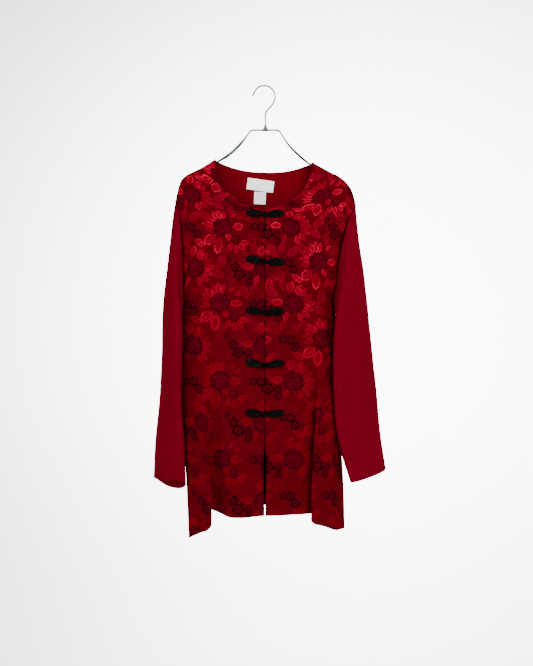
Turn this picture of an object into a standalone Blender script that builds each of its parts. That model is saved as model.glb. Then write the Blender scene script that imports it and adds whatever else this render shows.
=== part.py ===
"""Tang jacket hanging on a steel band hanger, in millimetres, made into metres by `solid`.

X runs to the viewer's right, -Y to the front and +Z up. The origin is the inner top of the
hanger's hook, where a rail would carry it. The two front panels meet edge to edge at the centre
and are closed by five cord frogs. Each piece of cloth is one thin closed wall: its outer face is
a function of two shares, `across` the panel and `up` it, and its inner face lies one wall
thickness inside. "Left" and "right" in the node names are the wearer's.
"""

import math

import bpy
import numpy as np

MM = 0.001

# ---------------------------------------------------------------- driving dimensions
CLOTH = 1.5                 # thickness of a cloth wall
SEAM = 0.4                  # space between two pieces at a seam
CENTRE_X = 1.0              # the front edges meet here, a little beside the hook
UNDERARM_Z = -470.0
NECK_FRONT_Z = -271.0       # lowest point of the front neckline
NECK_BACK_Z = -187.0        # lowest point of the back neckline
NECK_CURVE = 2.35           # 2 is a parabola, larger is flatter in the middle
BAND_DROP = 12.0            # height over which the cloth turns down off the band
BAND_CORNER = 5.0           # 2 turns down in a round arc, larger lies flatter and turns sooner
BAND_FADE = 45.0            # height over which the shoulder takes on the body's own section
BAND_REACH = 0.80           # the band's tips lie at this share of the shoulder's width
SQUARENESS = 3.6            # 2 is an oval body section, larger is boxier
NOMINAL_SECTION = (168.0, 55.0)   # half width and depth that even out the columns

UP_LOW = 0.50               # share of `up` that lies below the underarm
NECK_SHARE = 0.50           # share of the upper front edge that is still the straight edge

FRONT_COLUMNS = 19
LOW_ROWS = 9
HIGH_ROWS = 12
BACK_COLUMNS = 31
TURN_ROWS = (0.13, 0.062, 0.024, 0.009, 0.0028)   # rows below the shoulder, share of the height
SLEEVE_RINGS = 13
SLEEVE_SKIPS = 4            # the panels' rows nearest to the shoulder, too close for a sleeve
FOLD_GROWTH = 1.25          # a fold reaches its whole depth this much sooner than the hem


def table(columns, *rows):
    """A short table as a dictionary from column name to its numbers."""
    return dict(zip(columns.split(), np.array(rows, dtype=float).T))


# Side seams and depths of the body, by height. `flare` is how far the back stands out past the
# left side seam, which lies a little in front of the side.
BODY = table(
    "z     right_x right_y left_x left_y flare",
    (-980, -165, -6, 161, -40, 25),
    (-870, -170, -5, 157, -38, 26),
    (-740, -179, -4, 153, -30, 20),
    (-610, -181, -3, 153, -14, 8),
    (-498, -179, -1, 156, -2, 1),
    (UNDERARM_Z, -178, 0, 154, 0, 0))

# How far the middle of the front and of the back stand off the hanger's plane, by height.
DEPTH = table(
    "z     front back",
    (-980, 68, 66),
    (-870, 64, 62),
    (-740, 57, 56),
    (-610, 50, 49),
    (-470, 42, 41),
    (-370, 34, 34),
    (-290, 25, 26),
    (-220, 17, 18),
    (-150, 13.5, 13.5))

# Armholes, by turn in degrees: 0 at the shoulder, 90 in front, 180 under the arm, 270 behind.
ARMHOLE = {
    "right": table(
        "turn x     y    z",
        (0, -195, 0, -255),
        (45, -182, -17, -287),
        (90, -176, -21, -360),
        (135, -177, -15, -437),
        (180, -178, 0, UNDERARM_Z),
        (225, -178, 19, -437),
        (270, -177, 28, -360),
        (315, -184, 19, -287)),
    "left": table(
        "turn x     y    z",
        (0, 202, 0, -261),
        (45, 183, -17, -292),
        (90, 164, -21, -362),
        (135, 157, -15, -437),
        (180, 154, 0, UNDERARM_Z),
        (225, 160, 19, -437),
        (270, 168, 28, -362),
        (315, 185, 19, -292))}

# Height of the shoulder seam along the shoulder.
SHOULDER = {
    "right": table(
        "x     z",
        (-195, -255),
        (-186, -217),
        (-172, -198),
        (-158, -190),
        (-136, -179),
        (-107, -161)),
    "left": table(
        "x     z",
        (105, -167),
        (140, -187),
        (168, -202),
        (184, -217),
        (194, -234),
        (202, -261))}

# The fronts are loose below the last frog: the space between them, by height.
SLIT = table(
    "z     width",
    (-980, 3.0),
    (-934, 3.0),
    (-905, 3.6),
    (-870, 5.8),
    (-838, 6.6),
    (-805, 4.6),
    (-775, 1.6),
    (-755, 0.0),
    (-740, 0.0))

# Height of the hem, by share across each panel: a front from its edge to its side seam, the
# back from the left side seam to the right one.
HEM = {
    "right": table(
        "across z",
        (0.00, -934),
        (0.42, -934),
        (0.50, -926),
        (0.555, -915),
        (0.605, -913),
        (0.632, -948),
        (0.66, -961),
        (0.72, -972),
        (0.80, -980),
        (0.93, -989),
        (1.00, -986)),
    "left": table(
        "across z",
        (0.00, -934),
        (0.25, -933),
        (0.50, -931),
        (0.61, -933),
        (0.64, -941),
        (0.68, -950),
        (0.74, -957),
        (0.85, -965),
        (1.00, -969)),
    "back": table(
        "across z",
        (0.00, -968),
        (0.06, -970),
        (0.14, -950),
        (0.22, -942),
        (0.50, -930),
        (0.80, -936),
        (0.86, -940),
        (0.92, -958),
        (1.00, -986))}

# Folds that double the cloth over: share across at the hem and at the top of the fold, half
# width (share), depth front to back, lean (how far the crest laps the valley), height of the top.
LAP_FOLDS = {
    "right": table(
        "hem   top   half  depth lean z_top",
        (0.588, 0.572, 0.052, 14, 13, -590)),
    "left": table(
        "hem   top   half  depth lean z_top",
        (0.590, 0.700, 0.056, 13, 15, -540)),
    "back": table(
        "hem   top   half  depth lean z_top",
        (0.245, 0.255, 0.030, 10, 10, -560),
        (0.760, 0.745, 0.030, 11, 11, -560))}

# Soft valleys that only bend the cloth, in the same columns without a lean.
SOFT_FOLDS = {
    "right": table(
        "hem   top   half  depth z_top",
        (0.27, 0.30, 0.075, 4.5, -560),
        (0.475, 0.480, 0.050, 13, -590)),
    "left": table(
        "hem   top   half  depth z_top",
        (0.33, 0.33, 0.080, 4.0, -560),
        (0.530, 0.650, 0.050, 9, -560)),
    "back": table(
        "hem   top   half  depth z_top",
        (0.42, 0.44, 0.035, 5.0, -420),
        (0.585, 0.560, 0.030, 6.0, -470))}

# Sleeves: rings from the armhole (share 0) to the cuff (share 1). Heights of a ring's outer,
# front, inner and back points, its middle, its half length and half thickness, and how far its
# long way turns from straight back, its front end towards the body.
SLEEVE = {
    "right": table(
        "share out   front inner back  x     y  long thin turn",
        (0.00, -256, -362, -476, -362, -191, 2, 34, 12, 0),
        (0.18, -368, -425, -496, -425, -197, 4, 58, 13.5, 8),
        (0.36, -482, -506, -540, -512, -202.5, 5, 76, 18.5, 13),
        (0.52, -592, -600, -618, -606, -205, 6, 76, 18, 14),
        (0.68, -690, -692, -704, -698, -207, 6, 72, 18, 19),
        (0.84, -782, -782, -793, -787, -209, 7, 67, 18, 28),
        (1.00, -867, -864, -886, -870, -209, 8, 65, 15, 35)),
    "left": table(
        "share out   front inner back  x     y  long thin turn",
        (0.00, -262, -364, -473, -364, 180, 2, 34, 17, 0),
        (0.18, -372, -430, -494, -425, 188, 4, 58, 23, 20),
        (0.36, -482, -515, -540, -506, 193, 6, 78, 20, 28),
        (0.52, -590, -606, -614, -598, 196, 7, 76, 18, 36),
        (0.68, -686, -696, -700, -688, 202, 8, 74, 17, 42),
        (0.84, -772, -784, -784, -768, 212, 9, 68, 16, 44),
        (1.00, -857, -866, -856, -847, 230, 10, 63, 15, 41))}
SLEEVE_ROUND = 0.9          # 1 is an oval ring, smaller is fuller at its corners
SLEEVE_GAP = 1.1            # the sleeve starts this far along from the armhole
CREASE_GAP = 0.7            # and this far out from the panel where it turns back in a crease
CREASED, JOINED = -0.3, 0.2   # below and above these products of the two normals
NEAR_TURN, NEAR_EDGE = 1.5, 0.01   # how far the points lie that a normal is worked out from
SLEEVE_SET = 0.22           # share over which a ring changes from the armhole's shape to its own

# Frogs, from the neck down: height, tilt of each half and how far the knot hangs below the pads.
FROGS = table(
    "z      knot_tilt loop_tilt droop",
    (-284.5, -8, 6, 1.0),
    (-387, -11, -1, 1.5),
    (-497, -9, 6, 1.5),
    (-609, -10, 8, 3.5),
    (-716, -5, 3, 1.0))
KNOT_X = 1.4                # the knots sit here, over the front edges
PAD_LIFT = 0.5              # clear of the panel that a pad is sewn to
# A pad with its knot, tip to knot: distance from the knot, height off the cloth of the middle of
# each ring, half width up and down, half thickness, and the direction of the ring (0 along).
KNOT_HALF = table(
    "along lift  wide thick rise",
    (-40.5, 1.5, 2.4, 0.9, 0),
    (-37.0, 2.0, 5.8, 1.6, 0),
    (-30.0, 2.4, 8.4, 2.1, 0),
    (-21.0, 2.6, 9.0, 2.3, 0),
    (-13.0, 2.3, 6.8, 2.0, 0),
    (-8.0, 1.7, 3.6, 1.4, 0),
    (-3.2, 1.6, 2.0, 1.2, 0),
    (-0.6, 2.6, 1.9, 1.5, 55),
    (0.0, 4.6, 1.9, 1.9, 90),
    (0.0, 6.4, 2.2, 2.2, 90),
    (0.0, 7.8, 5.8, 6.0, 90),
    (0.0, 10.4, 7.0, 7.2, 90),
    (0.0, 13.2, 5.2, 5.6, 90),
    (0.0, 14.6, 1.6, 1.8, 90))
KNOT_SIDES = 8
# The outline of a pad with its loop round the knot's neck, upper half from the loop's far side
# to the pad's tip: along and up, and then the heights off the cloth of its under side and top.
LOOP_HALF = table(
    "along up   under top",
    (-5.6, 0.0, 3.4, 5.0),
    (-4.2, 3.6, 3.4, 5.0),
    (-0.5, 5.4, 3.4, 5.2),
    (4.0, 4.6, 3.2, 5.2),
    (8.0, 4.0, 1.8, 4.8),
    (11.0, 5.6, 0.7, 4.4),
    (16.0, 8.2, 0.3, 4.6),
    (24.0, 9.0, 0.3, 4.6),
    (32.0, 7.8, 0.3, 4.2),
    (39.0, 4.6, 0.3, 3.2),
    (42.0, 0.0, 0.3, 2.0))
EYE_RADIUS = 2.9            # the knot's neck passes through the loop here
PAD_EDGE = 0.45             # how far down a pad's rim is from its crown, as a share
PAD_CROWN = 0.55            # where that crown lies between the eye and the rim

# Labels on the inside of the back: middle, width, height and tilt in degrees.
LABELS = table(
    "x      z     width height tilt",
    (-8.5, -215, 59, 25, -8),
    (-9.5, -243, 26, 27, -2))
LABEL_NAMES = ("label_neck", "label_size")
LABEL_THICK = 0.6
LABEL_LIFT = 0.4

# The hanger's band from one tip to the other: middle line, its depth front to back and its
# thickness. The swelling at the middle carries the hook.
BAND = table(
    "x      z      depth thick",
    (-166, -198.6, 9, 2.0),
    (-158, -194.2, 14, 2.0),
    (-136, -182.6, 17, 2.0),
    (-104, -166.6, 20, 2.0),
    (-84, -154.6, 19, 2.0),
    (-67, -141.6, 16, 2.0),
    (-49, -122.6, 13, 2.0),
    (-37, -107.0, 11, 2.0),
    (-31, -98.8, 10, 2.0),
    (-26.5, -96.2, 10, 2.0),
    (-20, -96.0, 10, 2.0),
    (-7, -96.0, 10, 2.2),
    (2.6, -96.0, 11, 4.2),
    (12, -96.0, 10, 2.2),
    (23, -96.0, 10, 2.0),
    (29.5, -96.3, 10, 2.0),
    (34, -99.2, 10, 2.0),
    (40, -108.0, 11, 2.0),
    (51, -124.8, 13, 2.0),
    (70, -145.6, 16, 2.0),
    (87, -160.8, 18, 2.0),
    (104, -173.2, 16, 2.0),
    (140, -191.6, 15, 2.0),
    (160, -203.0, 12, 2.0),
    (166, -206.8, 9, 2.0))
BAND_SIDES = 8

# The hook's middle line from its tip, over the crown and down the shank, and its radius. The
# last rows are the turned boss that stands on the band.
HOOK = table(
    "x      z      radius",
    (-26.0, -22.0, 1.5),
    (-24.0, -17.0, 1.8),
    (-19.0, -8.0, 1.8),
    (-11.0, -0.6, 1.8),
    (0.0, 1.8, 1.8),
    (11.0, -0.6, 1.8),
    (19.5, -8.5, 1.8),
    (23.8, -19.4, 1.8),
    (22.3, -31.5, 1.8),
    (15.0, -43.5, 1.8),
    (6.0, -54.0, 1.8),
    (3.0, -60.0, 1.8),
    (2.6, -68.0, 1.8),
    (2.6, -84.0, 1.8),
    (2.6, -86.4, 2.3),
    (2.6, -90.0, 4.4),
    (2.6, -93.6, 4.6))
HOOK_SIDES = 10


# ---------------------------------------------------------------- reading tables and curves
def clamp(value, low=0.0, high=1.0):
    return np.minimum(np.maximum(value, low), high)


def ease(share):
    """0 to 1 with level ends: three times the square less twice the cube."""
    share = clamp(share)
    return share * share * (3 - 2 * share)


def smooth(xs, ys, at):
    """The smooth curve through the points (xs, ys), read at `at`: cubic between neighbours."""
    at = clamp(np.asarray(at, dtype=float), xs[0], xs[-1])
    slope = np.gradient(ys, xs)
    left = np.clip(np.searchsorted(xs, at, side="right") - 1, 0, len(xs) - 2)
    step = xs[left + 1] - xs[left]
    t = (at - xs[left]) / step
    start = ys[left] * (1 + 2 * t) * (1 - t) ** 2 + slope[left] * step * t * (1 - t) ** 2
    end = ys[left + 1] * (3 - 2 * t) * t * t - slope[left + 1] * step * t * t * (1 - t)
    return start + end


def read(rows, key, column, at):
    return smooth(rows[key], rows[column], at)


def read_round(turns, values, at):
    """The same curve for a closed loop whose `turns` run once round in degrees."""
    turns = np.concatenate((turns[-2:] - 360, turns, turns[:2] + 360))
    values = np.concatenate((values[-2:], values, values[:2]))
    return smooth(turns, values, np.mod(at, 360))


def armhole(side, turn):
    """Points of an armhole at the given turns."""
    loop = ARMHOLE[side]
    return np.stack([read_round(loop["turn"], loop[axis], turn) for axis in "xyz"], axis=-1)


def section_table():
    """A quarter of the body's section: share along it, width share and depth share."""
    angle = np.linspace(0, math.pi / 2, 1501)
    wide = np.sin(angle) ** (2 / SQUARENESS)
    deep = np.cos(angle) ** (2 / SQUARENESS)
    steps = np.hypot(np.diff(wide) * NOMINAL_SECTION[0], np.diff(deep) * NOMINAL_SECTION[1])
    share = np.concatenate(([0.0], np.cumsum(steps)))
    return share / share[-1], wide, deep


QUARTER_SHARE, QUARTER_WIDE, QUARTER_DEEP = section_table()
# The left front stops at this share of the quarter: its side seam lies in front of the side.
QUARTER_USED = {"right": 1.0, "left": 0.93}


def quarter(side, across):
    """Width share (0 to 1) and depth share (1 to 0) at a share across a front panel."""
    used = QUARTER_USED[side]
    wide = np.interp(across * used, QUARTER_SHARE, QUARTER_WIDE)
    deep = np.interp(across * used, QUARTER_SHARE, QUARTER_DEEP)
    last = np.interp(used, QUARTER_SHARE, QUARTER_DEEP)
    full = np.interp(used, QUARTER_SHARE, QUARTER_WIDE)
    return wide / full, (deep - last) / (1 - last)


# ---------------------------------------------------------------- the panels' outer faces
def shoulder_end(side):
    return ARMHOLE[side]["x"][0]


def neck_point(side):
    rows = SHOULDER[side]
    at = -1 if side == "right" else 0
    return rows["x"][at], rows["z"][at]


def ridge(side, wide):
    """Height and place of the shoulder seam at a width share from neck point to armhole."""
    start = neck_point(side)[0]
    x = start + (shoulder_end(side) - start) * wide
    return x, read(SHOULDER[side], "x", "z", x)


def front_edge(side, high):
    """The front's inner edge above the underarm: straight up, then a quarter oval to the neck."""
    neck_x, neck_z = neck_point(side)
    straight = clamp(high / NECK_SHARE)
    angle = clamp((high - NECK_SHARE) / (1 - NECK_SHARE)) * math.pi / 2
    x = CENTRE_X + (neck_x - CENTRE_X) * np.sin(angle)
    z = UNDERARM_Z + (NECK_FRONT_Z - UNDERARM_Z) * straight
    z = z + (neck_z - NECK_FRONT_Z) * (1 - np.cos(angle))
    return x, z


def off_band(fall):
    """Share of its depth that the cloth has, `fall` below the ridge where it lies on the band."""
    return (1 - (1 - clamp(fall / BAND_DROP)) ** BAND_CORNER) ** (1 / BAND_CORNER)


def flat_on_band(wide, deep, fall):
    """Depth share near the shoulder seam: whole over the band, rounded off past its tips."""
    rounded = np.maximum(ease(fall / BAND_FADE), ease((wide - BAND_REACH) / (1 - BAND_REACH)))
    return 1 - (1 - deep) * rounded


def folds(panel, across, z):
    """Shift along the panel and outwards that its folds give, at a share across and a height."""
    shift = np.zeros_like(across + z)
    out = np.zeros_like(across + z)
    hem_z = BODY["z"][0]
    rows = LAP_FOLDS[panel]
    for i in range(len(rows["hem"])):
        down = clamp((z - rows["z_top"][i]) / (hem_z - rows["z_top"][i]))
        grown = ease(down * FOLD_GROWTH)
        middle = rows["top"][i] + (rows["hem"][i] - rows["top"][i]) * down
        place = (across - middle) / rows["half"][i]
        wave = place * np.exp((1 - place * place) / 2)
        shift -= grown * rows["lean"][i] * wave
        out += grown * rows["depth"][i] * wave
    rows = SOFT_FOLDS[panel]
    for i in range(len(rows["hem"])):
        down = clamp((z - rows["z_top"][i]) / (hem_z - rows["z_top"][i]))
        middle = rows["top"][i] + (rows["hem"][i] - rows["top"][i]) * down
        place = (across - middle) / rows["half"][i]
        out -= ease(down * FOLD_GROWTH) * rows["depth"][i] * np.exp(-place * place)
    return shift, out


def front_face(side, across, up):
    """Outer face of a front panel: `across` from front edge to side seam, `up` from the hem."""
    sign = -1 if side == "right" else 1
    wide, deep = quarter(side, across)
    hem = read(HEM[side], "across", "z", across)
    low = clamp(up / UP_LOW)
    z_low = hem + (UNDERARM_Z - hem) * low
    seam_x = read(BODY, "z", side + "_x", z_low)
    seam_y = read(BODY, "z", side + "_y", z_low)
    loose = read(SLIT, "z", "width", z_low) / 2 + SEAM / 2
    x_low = CENTRE_X + sign * loose * (1 - wide) + (seam_x - CENTRE_X) * wide
    y_low = seam_y * (1 - deep) - read(DEPTH, "z", "front", z_low) * deep
    shift, out = folds(side, across, z_low)

    high = clamp((up - UP_LOW) / (1 - UP_LOW))
    edge_x, edge_z = front_edge(side, high)
    arm = armhole(side, 180 * (1 - high))
    top_x, top_z = ridge(side, wide)
    under_x = CENTRE_X + (ARMHOLE[side]["x"][4] - CENTRE_X) * wide
    neck_x, neck_z = neck_point(side)
    x_high = ((1 - high) * under_x + high * top_x + (1 - wide) * edge_x + wide * arm[..., 0]
              - (1 - wide) * ((1 - high) * CENTRE_X + high * neck_x)
              - wide * ((1 - high) * ARMHOLE[side]["x"][4] + high * shoulder_end(side)))
    z_high = ((1 - high) * UNDERARM_Z + high * top_z + (1 - wide) * edge_z + wide * arm[..., 2]
              - (1 - wide) * ((1 - high) * UNDERARM_Z + high * neck_z)
              - wide * ((1 - high) * UNDERARM_Z + high * ARMHOLE[side]["z"][0]))
    x_high = x_high + sign * SEAM / 2 * (1 - wide) * (high <= NECK_SHARE)
    depth = off_band(top_z - z_high) * read(DEPTH, "z", "front", z_high)
    deep = flat_on_band(wide, deep, top_z - z_high)
    y_high = arm[..., 1] * (1 - deep) - depth * deep

    upper = high > 0
    x = np.where(upper, x_high, x_low + sign * shift)
    y = np.where(upper, y_high, y_low - out)
    return np.stack((x, y, np.where(upper, z_high, z_low)), axis=-1)


NECK_ACROSS = (0.30, 0.70)  # shares across the back at which its two neck points lie
FLARE_SHARE = 0.24          # share of the back over which it stands out past the left side seam
FLARE_ROUND = 0.8           # 1 is a sine wave, smaller is fuller at its ends


def back_top(across):
    """Top edge of the back: left shoulder seam, back neckline and right shoulder seam."""
    left_x, left_z = neck_point("left")
    right_x, right_z = neck_point("right")
    first, last = NECK_ACROSS
    neck = clamp((across - first) / (last - first))
    x_neck = left_x + (right_x - left_x) * neck
    sag = 1 - np.abs(2 * neck - 1) ** NECK_CURVE
    z_neck = left_z + (right_z - left_z) * neck
    z_neck = z_neck + (NECK_BACK_Z - (left_z + right_z) / 2) * sag
    x_left, z_left = ridge("left", back_shoulder(across))
    x_right, z_right = ridge("right", back_shoulder(across))
    x = np.where(across < first, x_left, np.where(across > last, x_right, x_neck))
    z = np.where(across < first, z_left, np.where(across > last, z_right, z_neck))
    ridge_z = np.where(across < first, z_left, np.where(across > last, z_right,
                                                       left_z + (right_z - left_z) * neck))
    return x, z, ridge_z


def back_section(across):
    """Width place (-1 left to 1 right) and depth share across the back's section."""
    half = np.abs(2 * across - 1)
    wide = np.interp(half, QUARTER_SHARE, QUARTER_WIDE)
    deep = np.interp(half, QUARTER_SHARE, QUARTER_DEEP)
    return np.sign(2 * across - 1) * wide, deep


def back_shoulder(across):
    """Width share from the neck point (0) to the armhole (1) at a share across the back."""
    neck_place = abs(back_section(NECK_ACROSS[0])[0])
    return clamp((np.abs(back_section(across)[0]) - neck_place) / (1 - neck_place))


def back_face(across, up):
    """Outer face of the back: `across` from the left side seam to the right one."""
    place, deep = back_section(across)
    to_right = (place + 1) / 2
    hem = read(HEM["back"], "across", "z", across)
    low = clamp(up / UP_LOW)
    z_low = hem + (UNDERARM_Z - hem) * low
    left_x, right_x = (read(BODY, "z", name, z_low) for name in ("left_x", "right_x"))
    left_y, right_y = (read(BODY, "z", name, z_low) for name in ("left_y", "right_y"))
    seam_y = np.where(place < 0, left_y, right_y)
    bulge = np.abs(np.sin(math.pi * clamp(across / FLARE_SHARE))) ** FLARE_ROUND
    shift, out = folds("back", across, z_low)
    x_low = left_x + (right_x - left_x) * to_right + read(BODY, "z", "flare", z_low) * bulge
    y_low = seam_y * (1 - deep) + read(DEPTH, "z", "back", z_low) * deep

    high = clamp((up - UP_LOW) / (1 - UP_LOW))
    left = armhole("left", 180 + 180 * high)
    right = armhole("right", 180 + 180 * high)
    top_x, top_z, ridge_z = back_top(across)
    under = (ARMHOLE["left"]["x"][4], ARMHOLE["right"]["x"][4])
    ends = (shoulder_end("left"), shoulder_end("right"))
    tips = (ARMHOLE["left"]["z"][0], ARMHOLE["right"]["z"][0])
    x_high = ((1 - high) * (under[0] + (under[1] - under[0]) * to_right) + high * top_x
              + (1 - to_right) * left[..., 0] + to_right * right[..., 0]
              - (1 - to_right) * ((1 - high) * under[0] + high * ends[0])
              - to_right * ((1 - high) * under[1] + high * ends[1]))
    z_high = ((1 - high) * UNDERARM_Z + high * top_z
              + (1 - to_right) * left[..., 2] + to_right * right[..., 2]
              - (1 - to_right) * ((1 - high) * UNDERARM_Z + high * tips[0])
              - to_right * ((1 - high) * UNDERARM_Z + high * tips[1]))
    depth = off_band(ridge_z - z_high) * read(DEPTH, "z", "back", z_high)
    arm_y = np.where(place < 0, left[..., 1], right[..., 1])
    deep = flat_on_band(back_shoulder(across), deep, ridge_z - z_high)
    y_high = arm_y * (1 - deep) + depth * deep

    upper = high > 0
    x = np.where(upper, x_high, x_low - shift)
    y = np.where(upper, y_high, y_low + out)
    return np.stack((x, y, np.where(upper, z_high, z_low)), axis=-1)


def sleeve_face(side, turn, share):
    """Outer face of a sleeve: `turn` round it in degrees, `share` from armhole to cuff."""
    rows = SLEEVE[side]
    sign = -1 if side == "right" else 1
    value = {name: read(rows, "share", name, share) for name in rows}
    angle = np.radians(turn)
    heading = np.radians(value["turn"])
    thin = value["thin"] * np.sign(np.cos(angle)) * np.abs(np.cos(angle)) ** SLEEVE_ROUND
    far = value["long"] * np.sign(np.sin(angle)) * np.abs(np.sin(angle)) ** SLEEVE_ROUND
    x = value["x"] + sign * (thin * np.cos(heading) - far * np.sin(heading))
    y = value["y"] - thin * np.sin(heading) - far * np.cos(heading)
    level = (value["out"] + value["front"] + value["inner"] + value["back"]) / 4
    z = (level + (value["out"] - value["inner"]) / 2 * np.cos(angle)
         + (value["front"] - value["back"]) / 2 * np.sin(angle)
         + (value["out"] + value["inner"] - value["front"] - value["back"]) / 4
         * np.cos(2 * angle))
    own = ease(share / SLEEVE_SET)
    ring = np.stack((x, y, z), axis=-1)
    return armhole(side, turn) * (1 - own[..., None]) + ring * own[..., None]


def unit(vectors):
    return vectors / np.maximum(np.linalg.norm(vectors, axis=-1, keepdims=True), 1e-9)


def edge_normal(face, edge, inner, up, rise):
    """Normals of a panel at its armhole edge, from points beside and above it."""
    along = face(np.full_like(up, edge), up) - face(np.full_like(up, inner), up)
    upward = face(np.full_like(up, edge), up + rise) - face(np.full_like(up, edge), up - rise)
    return unit(np.cross(along, upward))


def armhole_out(side, turn):
    """Directions of thickness at an armhole: of the panels' edge and of the sleeve's edge.

    Where the two meet in a crease each is its own normal, and elsewhere both are their mean.
    The third value points out from the panel in a crease and is zero elsewhere.
    """
    turn = np.mod(turn, 360.0)
    sign = 1 if side == "left" else -1
    near = np.clip(turn, NEAR_TURN, 360 - NEAR_TURN)
    rise = (1 - UP_LOW) * NEAR_TURN / 180
    front_up, back_up = (np.clip(UP_LOW + (1 - UP_LOW) * high, UP_LOW + 2 * rise, 1 - rise)
                         for high in (1 - near / 180, near / 180 - 1))
    end = 0.0 if side == "left" else 1.0
    inner = abs(end - NEAR_EDGE)
    front = edge_normal(lambda a, u: front_face(side, a, u), 1.0, 1 - NEAR_EDGE, front_up, rise)
    back = edge_normal(back_face, end, inner, back_up, rise)
    panel = sign * np.where((turn < 180)[:, None], front, -back)
    start, away = (sleeve_face(side, turn, np.full_like(turn, share)) for share in (0.0, 0.03))
    ahead = sleeve_face(side, turn + NEAR_TURN, np.zeros_like(turn)) - start
    sleeve = unit(-sign * np.cross(away - start, ahead))
    together = np.sum(panel * sleeve, axis=-1, keepdims=True)
    agree = clamp((together - CREASED) / (JOINED - CREASED))
    mean = unit(panel + sleeve)
    parted = panel * (1 - agree)
    return unit(panel + (mean - panel) * agree), unit(sleeve + (mean - sleeve) * agree), parted


# ---------------------------------------------------------------- walls and solids
def outward(points, closed=False):
    """Unit normals of a grid of points: the cross product of its two directions."""
    if closed:
        ahead = np.roll(points, -1, axis=1) - np.roll(points, 1, axis=1)
    else:
        ahead = np.gradient(points, axis=1)
    return unit(np.cross(ahead, np.gradient(points, axis=0)))


def grid_faces(rows, columns, first, closed):
    """Quads of a grid whose vertex numbers start at `first`, wound along then up."""
    span = columns if closed else columns - 1
    faces = []
    for i in range(rows - 1):
        for j in range(span):
            k = (j + 1) % columns
            faces.append((first + i * columns + j, first + i * columns + k,
                          first + (i + 1) * columns + k, first + (i + 1) * columns + j))
    return faces


def wall(outer, inner, closed=False):
    """A closed wall between two grids: both faces and the rims that join their edges."""
    rows, columns = outer.shape[:2]
    count = rows * columns
    faces = grid_faces(rows, columns, 0, closed)
    faces += [face[::-1] for face in grid_faces(rows, columns, count, closed)]
    rim = []
    span = columns if closed else columns - 1
    for j in range(span):
        k = (j + 1) % columns
        rim.append((k, j))
        rim.append(((rows - 1) * columns + j, (rows - 1) * columns + k))
    if not closed:
        for i in range(rows - 1):
            rim.append((i * columns, (i + 1) * columns))
            rim.append(((i + 2) * columns - 1, (i + 1) * columns - 1))
    faces += [(a, b, count + b, count + a) for a, b in rim]
    return np.concatenate((outer.reshape(-1, 3), inner.reshape(-1, 3))), faces


def capped(rings):
    """A closed body through a stack of rings, with a flat face on each end."""
    rows, columns = rings.shape[:2]
    faces = grid_faces(rows, columns, 0, True)
    faces.append(tuple(range(columns))[::-1])
    faces.append(tuple((rows - 1) * columns + j for j in range(columns)))
    return rings.reshape(-1, 3), faces


def solid(name, points, faces, material, sharp_degrees=40):
    """One named object from points in millimetres, its faces pointing out."""
    mesh = bpy.data.meshes.new(name)
    mesh.from_pydata((np.asarray(points) * MM).tolist(), [], faces)
    if volume(mesh) < 0:
        mesh.flip_normals()
    mesh.shade_smooth()
    mesh.set_sharp_from_angle(angle=math.radians(sharp_degrees))
    mesh.materials.append(material)
    piece = bpy.data.objects.new(name, mesh)
    bpy.context.scene.collection.objects.link(piece)
    return piece


def volume(mesh):
    """Signed volume: a sixth of the sum, over the triangles, of their corners' box product."""
    mesh.calc_loop_triangles()
    corners = np.array([vertex.co[:] for vertex in mesh.vertices])
    triangles = np.array([triangle.vertices[:] for triangle in mesh.loop_triangles])
    a, b, c = (corners[triangles[:, k]] for k in range(3))
    return float(np.sum(a * np.cross(b, c)) / 6)


def finish(name, colour, roughness, metallic=0.0):
    """A plain material for one kind of surface."""
    material = bpy.data.materials.new(name)
    material.use_nodes = True
    shader = material.node_tree.nodes["Principled BSDF"]
    shader.inputs["Base Color"].default_value = (*colour, 1)
    shader.inputs["Roughness"].default_value = roughness
    shader.inputs["Metallic"].default_value = metallic
    return material


# ---------------------------------------------------------------- cloth pieces
def spread(count, crowd, places, reach):
    """Shares from 0 to 1, closer together near the given places."""
    fine = np.linspace(0, 1, 1201)
    weight = 1 + crowd * sum(np.exp(-((fine - place) / reach) ** 2) for place in places)
    total = np.concatenate(([0.0], np.cumsum((weight[1:] + weight[:-1]) / 2)))
    return np.interp(np.linspace(0, 1, count), total / total[-1], fine)


def row_shares():
    """Rows up a panel, closer together where the cloth turns over the hanger's band."""
    low = np.linspace(0, UP_LOW, LOW_ROWS + 1)
    plain = np.linspace(0, 1 - TURN_ROWS[0], HIGH_ROWS - len(TURN_ROWS) + 1)[1:-1]
    high = np.concatenate((plain, 1 - np.array(TURN_ROWS), (1.0,)))
    return np.concatenate((low, UP_LOW + (1 - UP_LOW) * high))


def with_seams(outer, normals, edges):
    """Give seam edges a shared direction of thickness and draw them back by half the seam."""
    outer = outer.copy()
    for row, column, direction, back_off in edges:
        normals[row, column] = direction
        outer[row, column] += np.array(back_off) * SEAM / 2
    return outer, unit(normals)


def over_shoulder(top):
    """Direction square to a shoulder seam in the hanger's plane, pointing up and outwards."""
    run = np.gradient(top, axis=0)
    square = np.stack((-run[:, 2], np.zeros(len(top)), run[:, 0]), axis=-1)
    return unit(square * np.sign(square[:, 2:] + 1e-9))


RIGHT_SIDE_OUT = (-1.0, 0.0, 0.0)
LEFT_SIDE_OUT = (0.85, -0.53, 0.0)
ALL = slice(None)


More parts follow.
